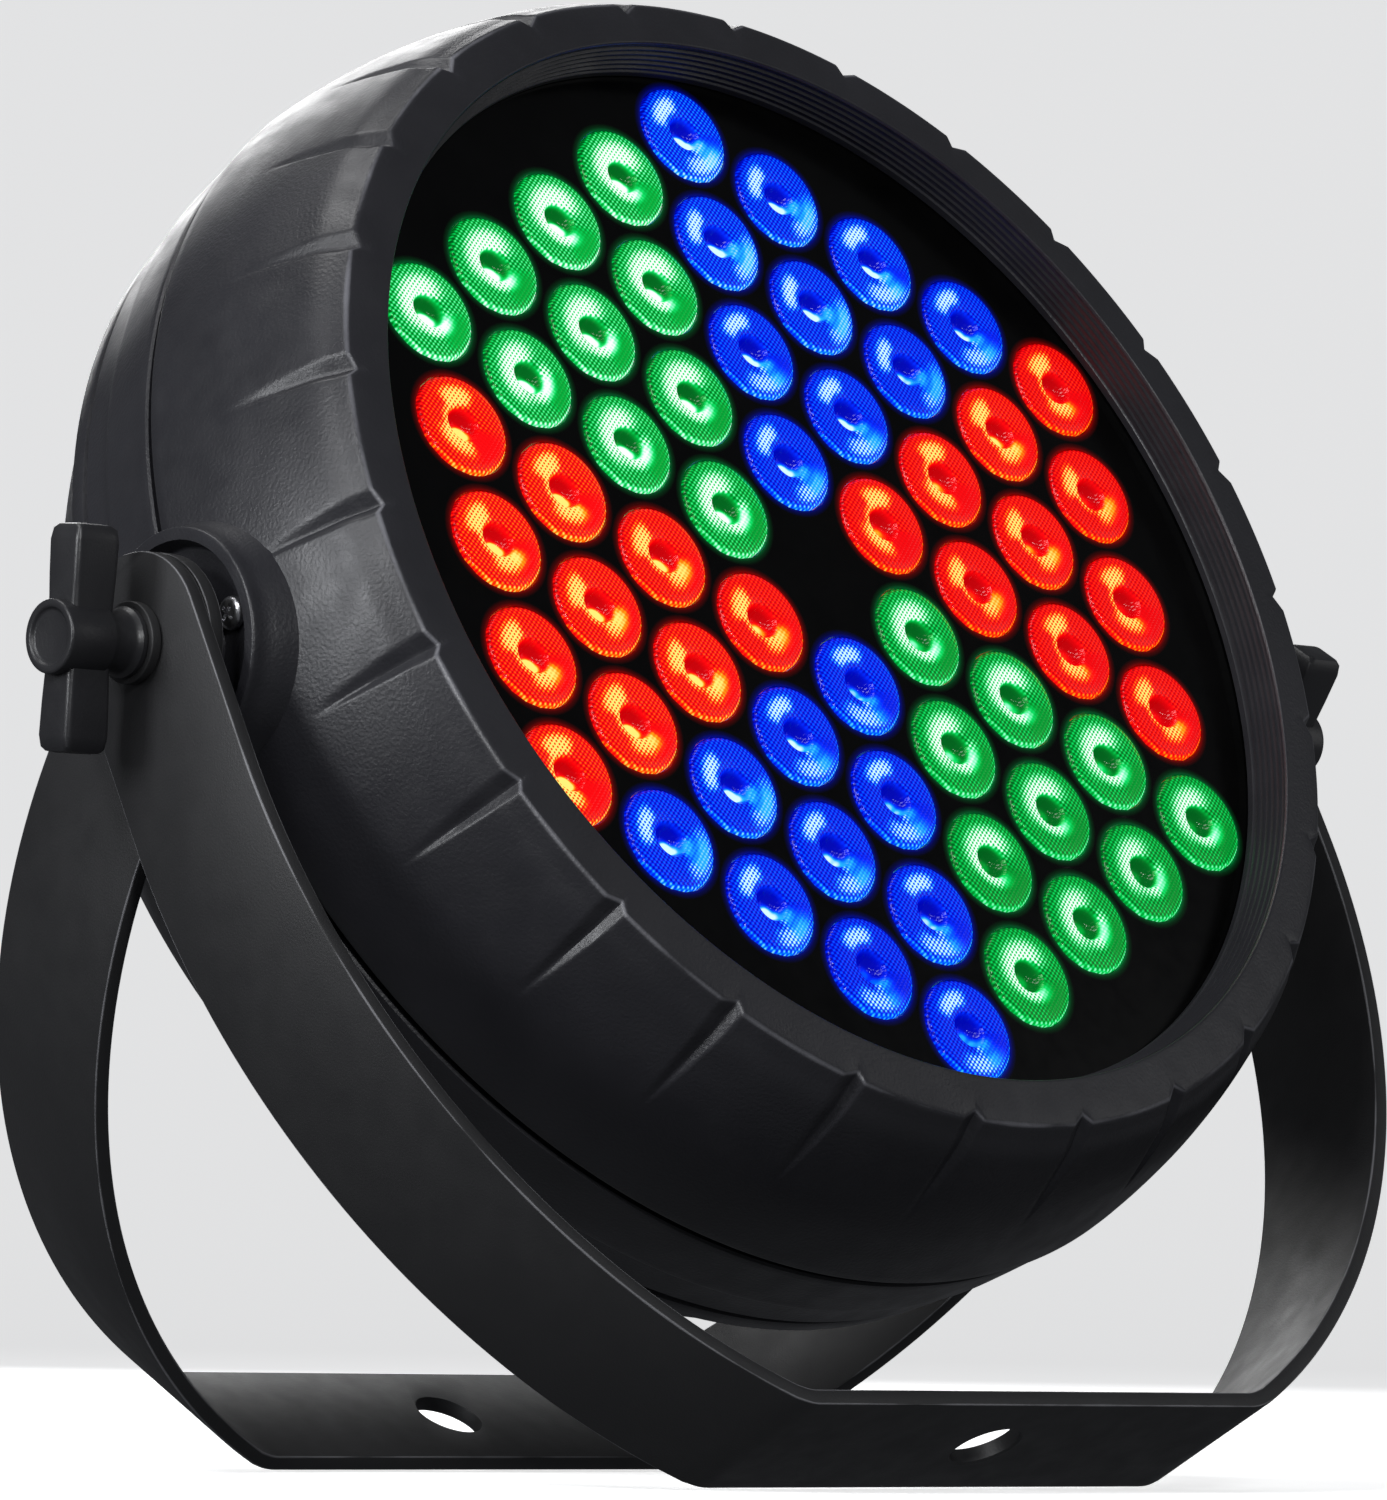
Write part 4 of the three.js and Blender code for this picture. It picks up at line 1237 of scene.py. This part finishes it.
def backdrop():
    """A pale floor that sweeps up into a round wall far behind the lamp on every side."""
    flat = 3.5
    sweep = 2.0
    wall_top = 7.0
    profile = [(0.0, 0.0), (flat, 0.0)]
    for i in range(1, 13):
        a = math.pi / 2 * i / 12
        profile.append((flat + sweep * math.sin(a), sweep * (1 - math.cos(a))))
    profile.append((flat + sweep, wall_top))
    bm = bmesh.new()
    just_below = -0.0002
    add_turned(bm, profile, 96, shift=(0, 0, just_below))
    mesh = mesh_of(cleaned(bm), "backdrop")
    mesh.shade_smooth()
    made = bpy.data.objects.new("backdrop", mesh)
    made.data.materials.append(stage_paint())
    made.visible_glossy = False
    made.visible_diffuse = False
    bpy.context.scene.collection.objects.link(made)


def studio():
    world = bpy.data.worlds.new("studio")
    world.use_nodes = True
    sky = world.node_tree.nodes["Background"]
    sky.inputs["Color"].default_value = (0.9, 0.93, 1.0, 1)
    sky.inputs["Strength"].default_value = 0.10
    bpy.context.scene.world = world
    bpy.context.scene.view_settings.view_transform = "Standard"
    target = PIVOT
    soft_light("key", (-1.45, -0.45, 1.2), target, 0.6, 0.6, 13, (0.97, 0.98, 1.0))
    soft_light("side", (-1.80, 0.10, 0.55), target, 0.4, 0.6, 15, (0.95, 0.97, 1.0))
    soft_light("front", (-0.95, -1.65, 0.80), target, 0.3, 0.3, 15, (0.98, 0.99, 1.0))
    soft_light("top", (-0.3, 0.5, 1.6), target, 0.6, 0.6, 6)
    soft_light("back", (0.9, 1.5, 0.9), target, 0.8, 0.8, 12)
    soft_light("fill", (1.2, -1.0, 0.5), target, 0.7, 0.9, 1.5)


# ---------- build ----------
SHELL = shell_plastic()
STRAP_PAINT = bracket_paint()
KNOB = knob_plastic()
PANEL = panel_paint()
SOCKET = socket_plastic()
RUBBER = button_rubber()
FIBRE = fibre()
GLASS = display_glass()
STEEL = brushed("bright_steel", (0.55, 0.55, 0.57), (0.66, 0.66, 0.68), (0.26, 0.36))
PLATED = brushed("socket_metal", (0.52, 0.51, 0.49), (0.62, 0.61, 0.59), (0.26, 0.34))
LENS_PAINT = {colour: lens_material(colour) for colour in HOT_COLOURS}

camera()
studio()
backdrop()
front_shell()
rear_shell()
face_plate()
seeded = random.Random(7)
for name, spoke, colour in SECTORS:
    lens_group(name, spoke, colour, seeded)
for word, side, turn in (("left", -1, -3.5), ("right", 1, 30.0)):
    boss(word, side)
    boss_screws(word, side)
    ring_washer(side, word + "_friction_disc", DISC_RADIUS, "head", FIBRE, "fibre")
    washer_body = word + "_clamp_washer"
    ring_washer(side, word + "_knob_washer", WASHER_RADIUS, washer_body, STRAP_PAINT, "bracket_paint")
    threaded_stud(word, side)
    knob(word, side, turn)
bracket("front", -1, -PAIR_OFFSET, "front_foot")
bracket("rear", 1, PAIR_OFFSET, "rear_foot")
panel_sheet()
display()
buttons()
signal_input()
signal_output()
power_socket()
fuse_cap()
back_screws()
safety_eye()
inner_parts()
